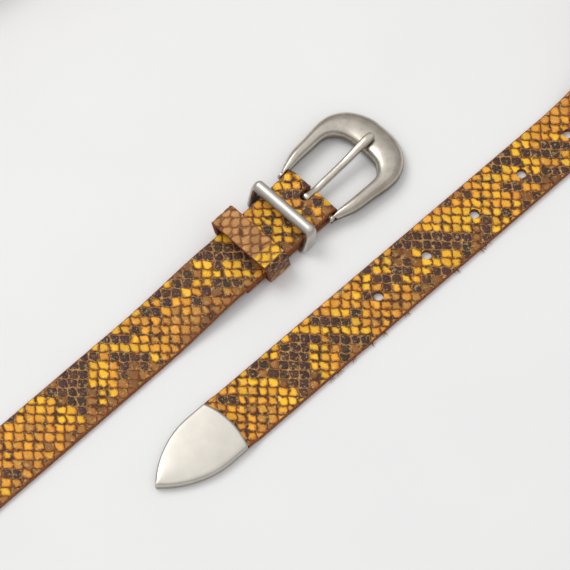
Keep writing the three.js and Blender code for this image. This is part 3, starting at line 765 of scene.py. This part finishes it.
# %% Materials: cut edge and flesh side
def raw_finish(name, pale, deep, grain, rough):
    """Raw leather: two tones mixed by noise of the fibres' size, with the same noise as bump."""
    material, tree, shader = new_material(name, Roughness=rough, Specular_IOR_Level=0.25)
    add = functools.partial(add_node, tree)
    place = add("TexCoord", output="Object")
    fibre = add("TexNoise", {"Vector": place, "Scale": 1 / (grain * MM), "Detail": 4.0, "Roughness": 0.7})
    share = add("MapRange", {0: fibre, 1: 0.35, 2: 0.65}, **SOFT_STEP)
    toned = add("Mix", {0: share, 6: deep, 7: pale}, 2, **COLOUR_MIX)
    bump = add("Bump", {"Strength": 0.8, "Distance": 0.15 * MM, "Height": fibre})
    connect(tree, shader, Base_Color=toned, Normal=bump)
    return material


cut_edge = raw_finish("dyed_cut_edge", linear("#A06038"), linear("#602E1A"), 0.5, 0.75)
flesh_side = raw_finish("suede_flesh_side", linear("#8A6240"), linear("#6B472C"), 0.8, 0.95)
for material in (strap_leather, cut_edge, flesh_side):
    strap.data.materials.append(material)
    for cutter in cutters:
        cutter.data.materials.append(material)
combine(strap, cutters, "DIFFERENCE")
strap.data.set_sharp_from_angle(angle=math.radians(62))
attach(strap, "strap_and_tip")
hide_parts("strap")
measure(strap)

# %% [markdown]
# ## The leather loop
# Behind the keeper a band of the same leather is wrapped round the folded strap to hold its end
# down. It comes from a paler part of the hide: tan, with the scales only faintly drawn. It is a
# hoop with a flat band for a section, made by carrying that section round a rounded rectangle.

# %% Rounded outlines for hoops
def rounded_outline(half_width, bottom, top, radius, straight, corner):
    """Rectangle whose corners are quarter circles: corner steps in each, straight steps between."""
    centres = np.array([
        (half_width - radius, top - radius),
        (radius - half_width, top - radius),
        (radius - half_width, bottom + radius),
        (half_width - radius, bottom + radius),
    ])
    angle = np.linspace(0, math.pi / 2, corner + 1) + np.arange(4)[:, None] * math.pi / 2
    corners = centres[:, None] + radius * np.stack([np.cos(angle), np.sin(angle)], -1)
    share = np.linspace(0, 1, straight + 1)[1:-1, None]
    sides = [corners[k][-1] * (1 - share) + corners[(k + 1) % 4][0] * share for k in range(4)]
    return np.concatenate([part for k in range(4) for part in (corners[k], sides[k])])


def hoop_outlines(size, straight, corner):
    """Outer and inner outline of a hoop, with as many points in both."""
    outer = rounded_outline(size["half_width"], 0, size["top"], size["corner"], straight, corner)
    inner = rounded_outline(
        size["inner_half"], size["bottom"], size["inner_top"], size["inner_corner"], straight, corner
    )
    return outer, inner


def hoop(name, size, across, yz):
    """Closed band round the strap. Its middle and length go straight with height, base to top."""
    share = yz[..., 1] / size["top"]
    middle_x = size["base_x"] + (size["top_x"] - size["base_x"]) * share
    length = size["base_length"] + (size["top_length"] - size["base_length"]) * share
    rings = np.stack([middle_x + across * length / 2, size["aside"] + yz[..., 0], yz[..., 1]], -1)
    rings[..., :2] += BAR[:2]
    return lofted(name, rings, joined=True)


LOOP = {
    "half_width": 16, "inner_half": 14, "top": 13.4, "inner_top": 11.6, "bottom": 1.5, "aside": 0.7,
    "base_length": 11.2, "top_length": 11.2, "base_x": -30.1, "top_x": -32.2,
    "corner": 2.0, "inner_corner": 0.6,
}
loop_outer, loop_inner = hoop_outlines(LOOP, 44, 10)
loop_run = np.concatenate([[0], np.cumsum(np.linalg.norm(np.diff(loop_outer, axis=0), axis=1))])
print("round the loop:", round(loop_run[-1], 1), "mm")

# %% [markdown]
# The outline starts at the right-hand side, climbs over the top and comes back below. Its print is
# faint, and only where it bends down at the near end do a few yellow and dark scales show.

# %% Make the leather loop
BAND_POINTS = 18
BACK_POINTS = 6
BAND_FLAT = 0.95
FAINT_GROOVE = 0.16
FAINT_DARK = 0.3
LOOP_CHART = "BTTTTTTTTYYDDDBTTTTTTTTTTTTTTTTT"
LETTER_LENGTH = 2.8
LOOP_NET_S = 3.1
LOOP_NET_W = 1.2
TAN = LETTERS.index("T")

band_front = np.linspace(-BAND_FLAT, BAND_FLAT, BAND_POINTS)
band_back = np.linspace(BAND_FLAT, -BAND_FLAT, BACK_POINTS)
band_across = np.concatenate([band_front, [1, 1], band_back, [-1, -1]])
band_out = np.concatenate([np.ones(BAND_POINTS), [0.78, 0.22], np.zeros(BACK_POINTS), [0.22, 0.78]])
loop_w = LOOP_NET_W - 0.5 * LOOP["top_length"] * band_across[None, :]
loop_column, loop_row = net(*np.broadcast_arrays(LOOP_NET_S - loop_run[:, None], loop_w))
loop_normal = unit(loop_outer - loop_inner)
loop_yz = loop_inner[:, None] + (loop_outer - loop_inner)[:, None] * band_out[:, None]
on_top = (band_out == 1) * FAINT_GROOVE
loop_yz = loop_yz - loop_normal[:, None] * (emboss(loop_column, loop_row) * on_top)[..., None]
loop = hoop("loop_band", LOOP, band_across, loop_yz)

loop_scale = np.floor(loop_row).astype(int)
loop_kinds = np.array([LETTERS.index(letter) for letter in LOOP_CHART])
loop_letter = (loop_run[:, None] / LETTER_LENGTH).astype(int) + 0 * loop_scale
loop_kind = loop_kinds[np.minimum(loop_letter, len(LOOP_CHART) - 1)]
loop_chance = CHANCE[np.floor(loop_column).astype(int) % CHANCE_SIZE, loop_scale % CHANCE_SIZE]
loop_ink = INKS[loop_kind]
loop_ink[loop_kind == TAN] = linear("#C08C52")
loop_ink[..., :3] *= 0.8 + 0.4 * loop_chance[..., 1:2]
loop_dark = DARKNESS[loop_kind] * np.where(loop_kind == TAN, FAINT_DARK, 1)
keep_print(loop, loop_column.ravel(), loop_row.ravel(), loop_ink.reshape(-1, 4), loop_dark.ravel())
# rim is the brown of the scales' rims and of the painted shade on their lower sides
loop_leather = print_finish(
    "pale_printed_cowhide",
    line=linear("#5E3018"), worn=linear("#B07C48"), rim=linear("#A4622C"), pale=linear("#EEBE84"),
    groove_share=0.8, Coat_Weight=0.05, Coat_Roughness=0.4, Specular_IOR_Level=0.3,
)
for material in (loop_leather, cut_edge, flesh_side):
    loop.data.materials.append(material)
band_kind = np.where(band_out == 1, GRAIN, CUT)
band_kind[BAND_POINTS - 1] = CUT
band_kind[band_out == 0] = FLESH
loop.data.polygons.foreach_set("material_index", np.tile(band_kind, len(loop_outer)).astype(np.int32))
loop.data.set_sharp_from_angle(angle=math.radians(50))
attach(loop, "strap_and_tip")
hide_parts("leather_loop")
measure(loop)

# %% [markdown]
# ## Frayed fibres
# Along the lower edge of the tip end a few fibres of the hide stand out where the blade tore them.
# Each is a wisp that thins to a point, drawn a little thicker than real so that it shows from here.

# %% Make the frayed fibres
TUFTS_FROM_TIP = np.array([81.0, 84.5, 93.0, 103.5, 109.5, 121.0, 149.5, 163.0, 166.5])
FIBRES_EACH = 6
FIBRE_SIDES = 5
FIBRE_RADIUS = 0.15
FIBRE_SAG = 0.35
FIBRE_SPREAD = 2.2
FIBRE_LENGTHS = (1.0, 2.5)
ROOT_INSIDE = 0.3
TUFT_LENGTH = 1.6
fibre_chance = np.random.default_rng(9)


def fibre_rings(root, direction, length):
    """A bent cone: its middle line falls off as the square of the share, its radius thins to 0.1."""
    share = np.linspace(0, 1, 5)[:, None]
    line = root + direction * length * share + np.array([0, 0, -FIBRE_SAG]) * length * share ** 2
    side = unit(np.cross(direction, [0, 0, 1]))
    up = unit(np.cross(side, direction))
    ring = circle_points(FIBRE_SIDES) @ np.stack([side, up])
    return line[:, None] + ring * (FIBRE_RADIUS * (1 - 0.9 * share))[..., None]


fibres = []
for from_tip in TUFTS_FROM_TIP:
    place_s = TIP_AT - from_tip
    near = int(np.argmin(np.abs(strap_s - place_s)))
    for number in range(FIBRES_EACH):
        lean, reach, shift, height = fibre_chance.random(4)
        sideways = travel[near] * (lean - 0.5) * FIBRE_SPREAD
        direction = unit(across[near] + sideways + np.array([0, 0, 0.3 - 0.5 * height]))
        edge = across[near] * (STRAP_WIDTH / 2 - ROOT_INSIDE)
        root = middle[near] + edge + travel[near] * (shift - 0.5) * TUFT_LENGTH
        root = root + np.array([BAR[0], BAR[1], 0.8 * height - 0.3])
        fibres.append(loft(fibre_rings(root, direction, np.interp(reach, (0, 1), FIBRE_LENGTHS))))

frayed = together("frayed_fibres", fibres)
frayed.data.materials.append(cut_edge)
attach(frayed, "strap_and_tip")
measure(frayed)

# %% [markdown]
# ## The tip cap
# The cap is pressed from sheet metal into a flat pointed hood, closed at its point and open at its
# curved mouth, where the strap goes in. Its outer skin and its inner skin are two surfaces of the
# same kind, the inner one a wall's thickness smaller, joined at the mouth by a narrow rim.

# %% Make the tip cap
CROWN = 0.3
HOLLOW_DEPTH = 22
CAP_TOP_POINTS = 21
CAP_CORNER_STEPS = 6
CAP_RINGS = 56
INNER_RINGS = 16
TOWARDS_POINT = 1.4
LIP = 0.12


def cap_ring(distance, inset):
    """Section of the hood: a crowned top, quarter circles at the corners, a flat bottom."""
    half_width = np.maximum(arch_half_width(distance) - inset, 0.02)
    low, high = inset, CAP["thick"] - inset
    corner = min(CAP["corner"] - inset * 0.6, half_width * 0.7)
    quarter = np.linspace(0, math.pi / 2, CAP_CORNER_STEPS)
    flat = np.linspace(half_width - corner, corner - half_width, CAP_TOP_POINTS)
    sines, cosines = corner * np.sin(quarter), corner * np.cos(quarter)
    right_top = np.stack([half_width - corner + cosines, high - corner + sines], -1)
    left_top = np.stack([corner - half_width - sines, high - corner + cosines], -1)
    left_low = np.stack([corner - half_width - cosines, low + corner - sines], -1)
    right_low = np.stack([half_width - corner + sines, low + corner - cosines], -1)
    top = np.stack([flat[1:-1], np.full(CAP_TOP_POINTS - 2, high)], -1)
    bottom = np.stack([-flat[1:-1], np.full(CAP_TOP_POINTS - 2, low)], -1)
    ring = np.concatenate([right_top, top, left_top, left_low, bottom, right_low])
    fall = CROWN * (ring[:, 0] / max(half_width, 0.5)) ** 2 * (ring[:, 1] > CAP["thick"] / 2)
    return ring - np.stack([0 * fall, fall], -1)


def cap_skin(distances, inset):
    """Rings of the hood at distances from its point, their mouth end bulged as a parabola."""
    rings = np.stack([cap_ring(distance, inset) for distance in distances])
    bulge = CAP["bulge"] * (1 - (rings[..., 0] / CAP["half_width"]) ** 2)
    x = distances[:, None] + bulge * smooth(distances, 0, CAP["length"])[:, None]
    return np.concatenate([x[..., None], rings], -1)


cap_outer = cap_skin(CAP["length"] * np.linspace(0, 1, CAP_RINGS) ** TOWARDS_POINT, 0)
cap_lip = cap_skin(np.array([CAP["length"] + LIP]), CAP["wall"] * 0.5)
hollow = np.linspace(CAP["length"], CAP["length"] - HOLLOW_DEPTH, INNER_RINGS)
cap_inner = cap_skin(hollow, CAP["wall"])
cap_rings = np.concatenate([cap_outer, cap_lip, cap_inner])
tip_turn = np.radians(eased(HEADINGS, TIP_AT) + 180)
tip_x, tip_y = plan(TIP_AT)
cap_x = cap_rings[..., 0] * np.cos(tip_turn) - cap_rings[..., 1] * np.sin(tip_turn)
cap_y = cap_rings[..., 0] * np.sin(tip_turn) + cap_rings[..., 1] * np.cos(tip_turn)
cap_placed = np.stack([cap_x + tip_x + BAR[0], cap_y + tip_y + BAR[1], cap_rings[..., 2]], -1)
tip_cap = lofted("pressed_tip_cap", cap_placed)
# Painted shade: the cap darkens towards the table, and all of its inner skin is dark
cap_painted_shade = 1 - smooth(cap_rings[..., 2], 0.4, CAP["thick"] - 0.9)
cap_painted_shade[len(cap_outer):] = 1
attribute(tip_cap, "shaded", with_ends(cap_painted_shade))
measure(tip_cap)

# %% [markdown]
# ## The metal keeper
# The keeper is a hoop of metal that slides along the strap. Over the top it is a thick half-round
# bar, and its sides and base are a flatter strip of the same width. So the section changes as it is
# carried round: how round it is depends on the height.

# %% Make the metal keeper
KEEPER = {
    "half_width": 16.2, "inner_half": 14.4, "top": 14, "inner_top": 11.7, "bottom": 1.3,
    "aside": 0.6, "base_length": 7, "top_length": 4.8, "base_x": -14.8, "top_x": -12.3,
    "corner": 2.4, "inner_corner": 0.6,
}
KEEPER_POINTS = 28
STRIP_BELOW = 4.5
ROUND_BELOW = 1.2
keeper_outer, keeper_inner = hoop_outlines(KEEPER, 26, 12)


def keeper_section(roundness):
    """Half a superellipse over a flat inner face: power 2 is half-round, power 5 nearly a strip."""
    angle = np.linspace(0, math.pi, KEEPER_POINTS)
    power = (2 / (5 - 3 * roundness))[:, None]
    across = np.sign(np.cos(angle)) * np.abs(np.cos(angle)) ** power
    return across, np.maximum(np.sin(angle), 0) ** power


bar_like = smooth(keeper_outer[:, 1], KEEPER["top"] - STRIP_BELOW, KEEPER["top"] - ROUND_BELOW)
keeper_across, keeper_out = keeper_section(bar_like)
keeper_wall = (keeper_outer - keeper_inner)[:, None]
keeper_yz = keeper_inner[:, None] + keeper_wall * keeper_out[..., None]
keeper = hoop("sliding_keeper", KEEPER, keeper_across, keeper_yz)
# Painted shade: the flanks of the keeper's section, down to its inner face, get the dark film
attribute(keeper, "shaded", (1 - smooth(keeper_out, 0.05, 0.6)).ravel())
measure(keeper)

# %% [markdown]
# ## The buckle's frame
# The frame is cast zinc, a wide domed horseshoe. Its outline and its window are two smooth curves
# through the same table of sections, and between them stands a rounded section whose height is in
# the table too. At the end of each arm a small boss with a hole holds the bar.

# %% Curves through a table
FRAME = np.array([
    (-0.9, 14.6, -0.8, 13.3, 2.6),
    (0.9, 15.3, 1, 13.3, 3.6),
    (4, 16.7, 4.4, 13.3, 4.8),
    (10, 18.6, 10, 13.7, 5.9),
    (18, 19.4, 17, 13.9, 6.5),
    (26.5, 20.3, 23.6, 13.9, 7),
    (33, 19.7, 27, 12.5, 7.2),
    (38.7, 16.6, 29.4, 9.8, 7.2),
    (42.5, 12, 30.5, 6.9, 7),
    (44.7, 6.3, 30.9, 3.4, 6.9),
    (45.1, 0, 31, 0, 6.8),
], dtype=[("outer_x", float), ("outer_y", float), ("inner_x", float), ("inner_y", float), ("thick", float)])
SECTION = np.array([
    (0.25, 0), (0.75, 0), (0.95, 0.16), (1, 0.42), (0.93, 0.7), (0.76, 0.9), (0.52, 1),
    (0.27, 0.97), (0.07, 0.84), (0, 0.5), (0.04, 0.16),
], dtype=[("across", float), ("up", float)])
UNDERSIDE = -1.6
FRAME_ASIDE = np.array([0, 0.3, 0])


def columns(table):
    """The named columns of a table side by side in a plain array."""
    return np.stack([table[name] for name in table.dtype.names], -1)


def curve_through(points, steps, closed=False):
    """Catmull-Rom curve: between two points, a cubic whose slopes come from their neighbours."""
    count = len(points)
    spans = count if closed else count - 1
    at = np.linspace(0, spans, steps, endpoint=not closed)
    low = np.minimum(at.astype(int), spans - 1)
    t = (at - low)[:, None]
    if closed:
        before, start, end, after = (points[(low + k) % count] for k in (-1, 0, 1, 2))
    else:
        padded = np.concatenate([[2 * points[0] - points[1]], points, [2 * points[-1] - points[-2]]])
        before, start, end, after = (padded[low + k] for k in (0, 1, 2, 3))
    slope_start, slope_end = (end - before) / 2, (after - start) / 2
    return (
        start * (2 * t ** 3 - 3 * t ** 2 + 1) + slope_start * (t ** 3 - 2 * t ** 2 + t)
        + end * (3 * t ** 2 - 2 * t ** 3) + slope_end * (t ** 3 - t ** 2)
    )


def lean_angle():
    """The buckle leans down from the bar until the far edge of its underside is on the table."""
    reach = FRAME["inner_x"][-1] + 0.75 * (FRAME["outer_x"][-1] - FRAME["inner_x"][-1])
    return math.asin(BAR[2] / math.hypot(reach, UNDERSIDE)) - math.atan2(-UNDERSIDE, reach)


LEAN = lean_angle()


def leaned(points):
    """Turns points of the buckle about the bar by the lean and moves them from bar to belt."""
    x = points[..., 0] * math.cos(LEAN) + points[..., 2] * math.sin(LEAN)
    z = points[..., 2] * math.cos(LEAN) - points[..., 0] * math.sin(LEAN)
    return np.stack([x, points[..., 1], z], -1) + BAR


print("the buckle leans by", round(math.degrees(LEAN), 2), "degrees")

# %% [markdown]
# The section of the frame is closed smoothly too. At the ends of the arms it shrinks to a point
# over the last millimetres, so that each arm ends in a rounded nose like the cast original.

# %% Make the frame
FRAME_STEPS = 150
SECTION_STEPS = 34
NOSE_STEPS = 7
NOSE_LENGTH = 0.6


def frame_rings():
    """Rings between window and outline: window plus across times the wall, and up times height."""
    mirror = np.array([1, -1, 1, -1, 1])
    half = columns(FRAME)
    rows = curve_through(np.concatenate([half, half[-2::-1] * mirror]), FRAME_STEPS)
    section = curve_through(columns(SECTION), SECTION_STEPS, True)
    across, up = np.clip(section, 0, 1).T
    plan_xy = rows[:, None, 2:4] + (rows[:, None, :2] - rows[:, None, 2:4]) * across[:, None]
    height = UNDERSIDE + up * rows[:, 4:]
    return np.concatenate([plan_xy, height[..., None]], -1)


def with_noses(rings, length):
    """Adds rings that close each end as a quarter ellipse: scaled by cos, moved on by sin."""
    angle = np.linspace(0, math.pi / 2 * 0.97, NOSE_STEPS + 1)[1:, None, None]
    ends = []
    for end, inside in ((rings[0], rings[1]), (rings[-1], rings[-2])):
        centre = end.mean(0)
        onward = unit(centre - inside.mean(0))
        ends.append(centre + (end - centre) * np.cos(angle) + onward * length * np.sin(angle))
    return np.concatenate([ends[0][::-1], rings, ends[1]])


frame_grid = with_noses(frame_rings(), NOSE_LENGTH)
cast = lofted("cast_buckle_frame", leaned(frame_grid + FRAME_ASIDE))
measure(cast)

# %% [markdown]
# ## Bosses, bar and hole
# The boss is a short barrel on the inside of each arm. It is united with the frame, and the hole
# for the bar is bored through both, a hair wider than the bar, so that the frame can turn on it.
# The bar itself is a steel pin whose two ends were hammered into low domes.

# %% Bore the frame and make the bar
BAR_HALF_LENGTH = 14.5
BAR_DOME = 0.3
BOSS_RADIUS = 1.9
BOSS_FROM = 13.3
BOSS_TO = 14.8
BOSS_EDGE = 0.35
BOSS_CHAMFER = BOSS_EDGE * 0.3
BORE_HALF_LENGTH = 25.0


def turned(profile):
    """Rings of a body turned about the bar's axis, from rows of place along it and radius."""
    along, radius = profile[:, :1], profile[:, 1:]
    places = np.broadcast_arrays(radius * circle[:, 0], along, radius * circle[:, 1])
    return np.stack(places, -1)


boss_profile = np.array([
    (BOSS_FROM, BOSS_RADIUS - BOSS_EDGE), (BOSS_FROM + BOSS_CHAMFER, BOSS_RADIUS - BOSS_CHAMFER),
    (BOSS_FROM + BOSS_EDGE, BOSS_RADIUS), (BOSS_TO - BOSS_EDGE, BOSS_RADIUS),
    (BOSS_TO - BOSS_CHAMFER, BOSS_RADIUS - BOSS_CHAMFER), (BOSS_TO, BOSS_RADIUS - BOSS_EDGE),
])
bosses = [
    lofted("boss", leaned(turned(boss_profile) * (1, side, 1) + FRAME_ASIDE)) for side in (-1, 1)
]
bore = np.array([(-BORE_HALF_LENGTH, BAR_RADIUS + GAP), (BORE_HALF_LENGTH, BAR_RADIUS + GAP)])
combine(cast, bosses, "UNION")
combine(cast, [lofted("bore", leaned(turned(bore)))], "DIFFERENCE")
cast.data.set_sharp_from_angle(angle=math.radians(45))

dome = np.linspace(0.05, 1, 8) * math.pi / 2
dome_radius = BAR_RADIUS * np.sin(dome)
dome_along = BAR_HALF_LENGTH + BAR_DOME * np.cos(dome)
bar_profile = np.concatenate([
    np.stack([-dome_along, dome_radius], -1), np.stack([dome_along, dome_radius], -1)[::-1],
])
pin = lofted("buckle_pin", leaned(turned(bar_profile) + FRAME_ASIDE))
pin.data.set_sharp_from_angle(angle=math.radians(50))
measure(cast)
measure(pin)

# %% [markdown]
# ## The tongue
# The tongue is one bar of metal. Its root is beaten thin and curled round the pin, and its shank
# rises over the fold and comes down on the frame's far end, where its tip is bent down a little. A
# half-round section is carried along that one line, from the end of the curl to the tip.

# %% Make the tongue
TONGUE = np.array([
    (0, 1.95, 3.2, 0.9),
    (2.2, 1.25, 3.15, 1.5),
    (5, 0.8, 3.1, 2.1),
    (10, 1.7, 3.1, 2.2),
    (16, 2.6, 3.1, 2.2),
    (22, 3.7, 3.2, 2.2),
    (28, 5.4, 3.5, 2.1),
    (33.4, 6.7, 3.9, 2),
    (36.2, 6.85, 3.5, 1.8),
    (37.0, 6.8, 2.6, 1.3),
], dtype=[("along", float), ("height", float), ("width", float), ("thick", float)])
CURL_RADIUS = 1.95
CURL_THICK = 0.85
CURL_WIDTH = 3.2
CURL_FROM = -75
CURL_STEPS = 22
SHANK_STEPS = 60
HALF_ROUND_STEPS = 32
TONGUE_NOSE = 0.35
HALF_ROUND = np.array([
    (-0.75, -1), (0, -1), (0.75, -1), (0.96, -0.8), (1, -0.3), (0.95, 0.25), (0.74, 0.7), (0.4, 0.94),
    (0, 1), (-0.4, 0.94), (-0.74, 0.7), (-0.95, 0.25), (-1, -0.3), (-0.96, -0.8),
], dtype=[("across", float), ("up", float)])


def tongue_line():
    """Rows of x, height, width, thickness: a circle round the pin and then the table's curve."""
    angle = np.radians(np.linspace(CURL_FROM, -270, CURL_STEPS)[:-1])
    curl = np.stack([
        CURL_RADIUS * np.cos(angle), CURL_RADIUS * np.sin(angle),
        np.full(len(angle), CURL_WIDTH), np.full(len(angle), CURL_THICK),
    ], -1)
    return np.concatenate([curl, curve_through(columns(TONGUE), SHANK_STEPS)])


rows = tongue_line()
onward = unit(np.gradient(rows[:, :2], axis=0))
normal = np.stack([-onward[:, 1], onward[:, 0]], -1)
section = curve_through(columns(HALF_ROUND), HALF_ROUND_STEPS, True)
rise = section[:, 1] * rows[:, 3:] / 2
tongue_x = rows[:, :1] + normal[:, :1] * rise
tongue_z = rows[:, 1:2] + normal[:, 1:] * rise
tongue_y = section[:, 0] * rows[:, 2:3] / 2
tongue_rings = with_noses(np.stack([tongue_x, tongue_y, tongue_z], -1), TONGUE_NOSE)
tongue = lofted("curled_tongue", leaned(tongue_rings))
tongue.data.set_sharp_from_angle(angle=math.radians(50))
# Painted shade, with some patina: underside, lower flanks and curl nose are marked shaded, the tip nose not
tongue_shade = 1 - smooth(section[:, 1] + 0 * rows[:, 3:], -0.95, -0.1)
nose_shade = np.ones((NOSE_STEPS, HALF_ROUND_STEPS))
tongue_shade = np.concatenate([nose_shade, tongue_shade, 0 * nose_shade])
attribute(tongue, "shaded", with_ends(tongue_shade))
measure(tongue)

# %% [markdown]
# ## How dark the frame is: patina and painted shade
# Antique plating is darkened all over and then rubbed bright where hands reach, so what lies low or
# faces down stays dark. Here that dark film is partly this patina and partly painted shade and
# painted dark reflection on the frame's lower sides. The frame has been cut since it was made, so its
# darkness is worked out from where each vertex is: its height above the underside, back in the
# buckle's own axes.

# %% Darkness of the cut frame
def buckle_axes(piece):
    """Vertices of a piece in the buckle's own axes: moved to the bar and turned back."""
    co = np.zeros(len(piece.data.vertices) * 3, np.float32)
    piece.data.vertices.foreach_get("co", co)
    offset = co.reshape(-1, 3) / MM - BAR
    x = offset[:, 0] * math.cos(LEAN) - offset[:, 2] * math.sin(LEAN)
    z = offset[:, 0] * math.sin(LEAN) + offset[:, 2] * math.cos(LEAN)
    return np.stack([x, offset[:, 1], z], -1)


cast_points = buckle_axes(cast)
cast_height = np.interp(cast_points[:, 0], FRAME["outer_x"], FRAME["thick"])
cast_up = (cast_points[:, 2] - UNDERSIDE) / cast_height
# Patina and painted shade: the low part of the frame's height is marked shaded
attribute(cast, "shaded", 1 - smooth(cast_up, 0.35, 0.85))
attribute(pin, "shaded", np.zeros(len(pin.data.vertices)))
print("share of the frame that is dark:", round(float((cast_up < 0.5).mean()), 2))

# %% [markdown]
# ## Finish: satin nickel
# Nickel is a warm grey metal. Tumbled in fine media it gets a satin skin: highlights are wide and
# soft, and a close look finds short scratches in all directions. The antique version of the buckle
# keeps a brown-grey film in its low places. The sheet metal of the cap and the keeper is the same
# nickel, cleaner and smoother. On every piece the same dark film, weaker on the sheet metal, is also
# painted shade and painted dark reflection wherever the piece is marked shaded.

# %% Materials: satin and antique nickel
CLOUD = 6.0


def nickel(name, bright, dull, film_and_shade, film_and_shade_share, rough, scratch):
    """Satin metal: two tones by slow noise, patina and painted shade where shaded is high, fine scratches
    as bump.
    """
    material, tree, shader = new_material(name, Metallic=1.0)
    add = functools.partial(add_node, tree)
    place = add("TexCoord", output="Object")
    shaded = add("Attribute", output="Fac", attribute_name="shaded")
    slow, fine = (
        add("TexNoise", {"Vector": place, "Scale": 1 / (size * MM), "Detail": 4.0, "Roughness": 0.65})
        for size in (CLOUD, scratch)
    )
    share = add("MapRange", {0: slow, 1: 0.35, 2: 0.65}, **SOFT_STEP)
    toned = add("Mix", {0: share, 6: bright, 7: dull}, 2, **COLOUR_MIX)
    low = add("MapRange", {0: shaded, 1: 0.15, 2: 0.9}, **SOFT_STEP)
    broken = add("MapRange", {0: fine, 1: 0.25, 2: 0.6, 3: 0.6, 4: 1.0}, **SOFT_STEP)
    low = add("Math", {0: low, 1: broken}, operation="MULTIPLY")
    # The dark film goes where shaded is high: patina, and painted shade and painted dark reflection
    film_and_shade_place = add("Math", {0: low, 1: film_and_shade_share}, operation="MULTIPLY")
    toned = add("Mix", {0: film_and_shade_place, 6: toned, 7: film_and_shade}, 2, **COLOUR_MIX)
    spread = add("MapRange", {0: fine, 1: 0.3, 2: 0.7, 3: rough - 0.04, 4: rough + 0.06})
    spread = add("Math", {0: low, 1: 0.12, 2: spread}, operation="MULTIPLY_ADD")
    bump = add("Bump", {"Strength": 0.25, "Distance": 0.02 * MM, "Height": fine})
    connect(tree, shader, Base_Color=toned, Roughness=spread, Normal=bump)
    return material


antique = nickel(
    "antique_satin_nickel_on_zinc", linear("#CCC4B8"), linear("#BCB4A8"), linear("#4A3F35"), 0.8, 0.3, 0.5)
satin = nickel(
    "satin_nickel_sheet", linear("#CBC6BD"), linear("#C5C0B7"), linear("#6A6358"), 0.4, 0.33, 0.35)
METAL_PIECES = (
    (tip_cap, satin, "strap_and_tip", "tip_cap", "satin_nickel_sheet"),
    (keeper, satin, "keeper", "metal_keeper", "satin_nickel_sheet"),
    (cast, antique, "buckle", "buckle_frame", "antique_nickel"),
    (pin, antique, "buckle", "buckle_bar", "antique_nickel"),
    (tongue, antique, "tongue", "tongue", "antique_nickel"),
)
for piece, material, body, node, slot in METAL_PIECES:
    piece.data.materials.clear()
    piece.data.materials.append(material)
    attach(piece, body)
    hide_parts(node)
print("metal pieces:", [row[0].name for row in METAL_PIECES])

# %% [markdown]
# ## Table and light
# The picture was taken on a white table, and its light is soft from all sides. A very wide lamp
# overhead does what a white ceiling does, and is what the flat cap mirrors. A smaller, brighter one
# on the left of the picture, out of the cap's mirror, gives the soft shadows to the lower right and
# the streaks on the frame and the tongue. The pale grey surrounding lights the sides.

# %% Table and lights
def soft_light(name, azimuth, elevation, distance, size, power):
    """A square lamp that looks at the middle of the picture from an angle round the camera."""
    lamp = bpy.data.lights.new(name, "AREA")
    lamp.shape = "SQUARE"
    lamp.size = size
    lamp.energy = power
    holder = bpy.data.objects.new(name, lamp)
    bpy.context.scene.collection.objects.link(holder)
    turn, rise = AZIMUTH + math.radians(azimuth), math.radians(elevation)
    away = np.array([math.sin(turn) * math.cos(rise), -math.cos(turn) * math.cos(rise), math.sin(rise)])
    holder.location = aim + away * distance
    holder.rotation_euler = (math.pi / 2 - rise, 0, turn)
    holder.visible_camera = False


# Angles in degrees, distance and width in metres, power in watts
soft_light("window_light", -126, 57, 1.6, 0.8, 8.0)
soft_light("ceiling_light", 0, 90, 2.4, 5.0, 33)

TABLE_HALF = 2500.0
TABLE_CLOUD = 60
table_corners = TABLE_HALF * np.array([(-1.0, -1, 0), (1, -1, 0), (1, 1, 0), (-1, 1, 0)])
table = new_piece("table", table_corners, [(0, 1, 2, 3)])
table_paint, table_tree, table_shader = new_material("matt_white_table", Roughness=0.85)
add_to_table = functools.partial(add_node, table_tree)
table_place = add_to_table("TexCoord", output="Object")
cloud = add_to_table("TexNoise", {"Vector": table_place, "Scale": 1 / (TABLE_CLOUD * MM)})
table_tone = add_to_table(
    "Mix", {0: cloud, 6: linear("#EDEDED"), 7: linear("#F2F2F1")}, 2, **COLOUR_MIX)
connect(table_tree, table_shader, Base_Color=table_tone)
table.data.materials.append(table_paint)

world = bpy.data.worlds.new("studio")
bpy.context.scene.world = world
world.use_nodes = True
background = world.node_tree.nodes["Background"]
background.inputs["Color"].default_value = linear("#F4F4F4")
background.inputs["Strength"].default_value = 0.56
bpy.context.scene.view_settings.view_transform = "Standard"
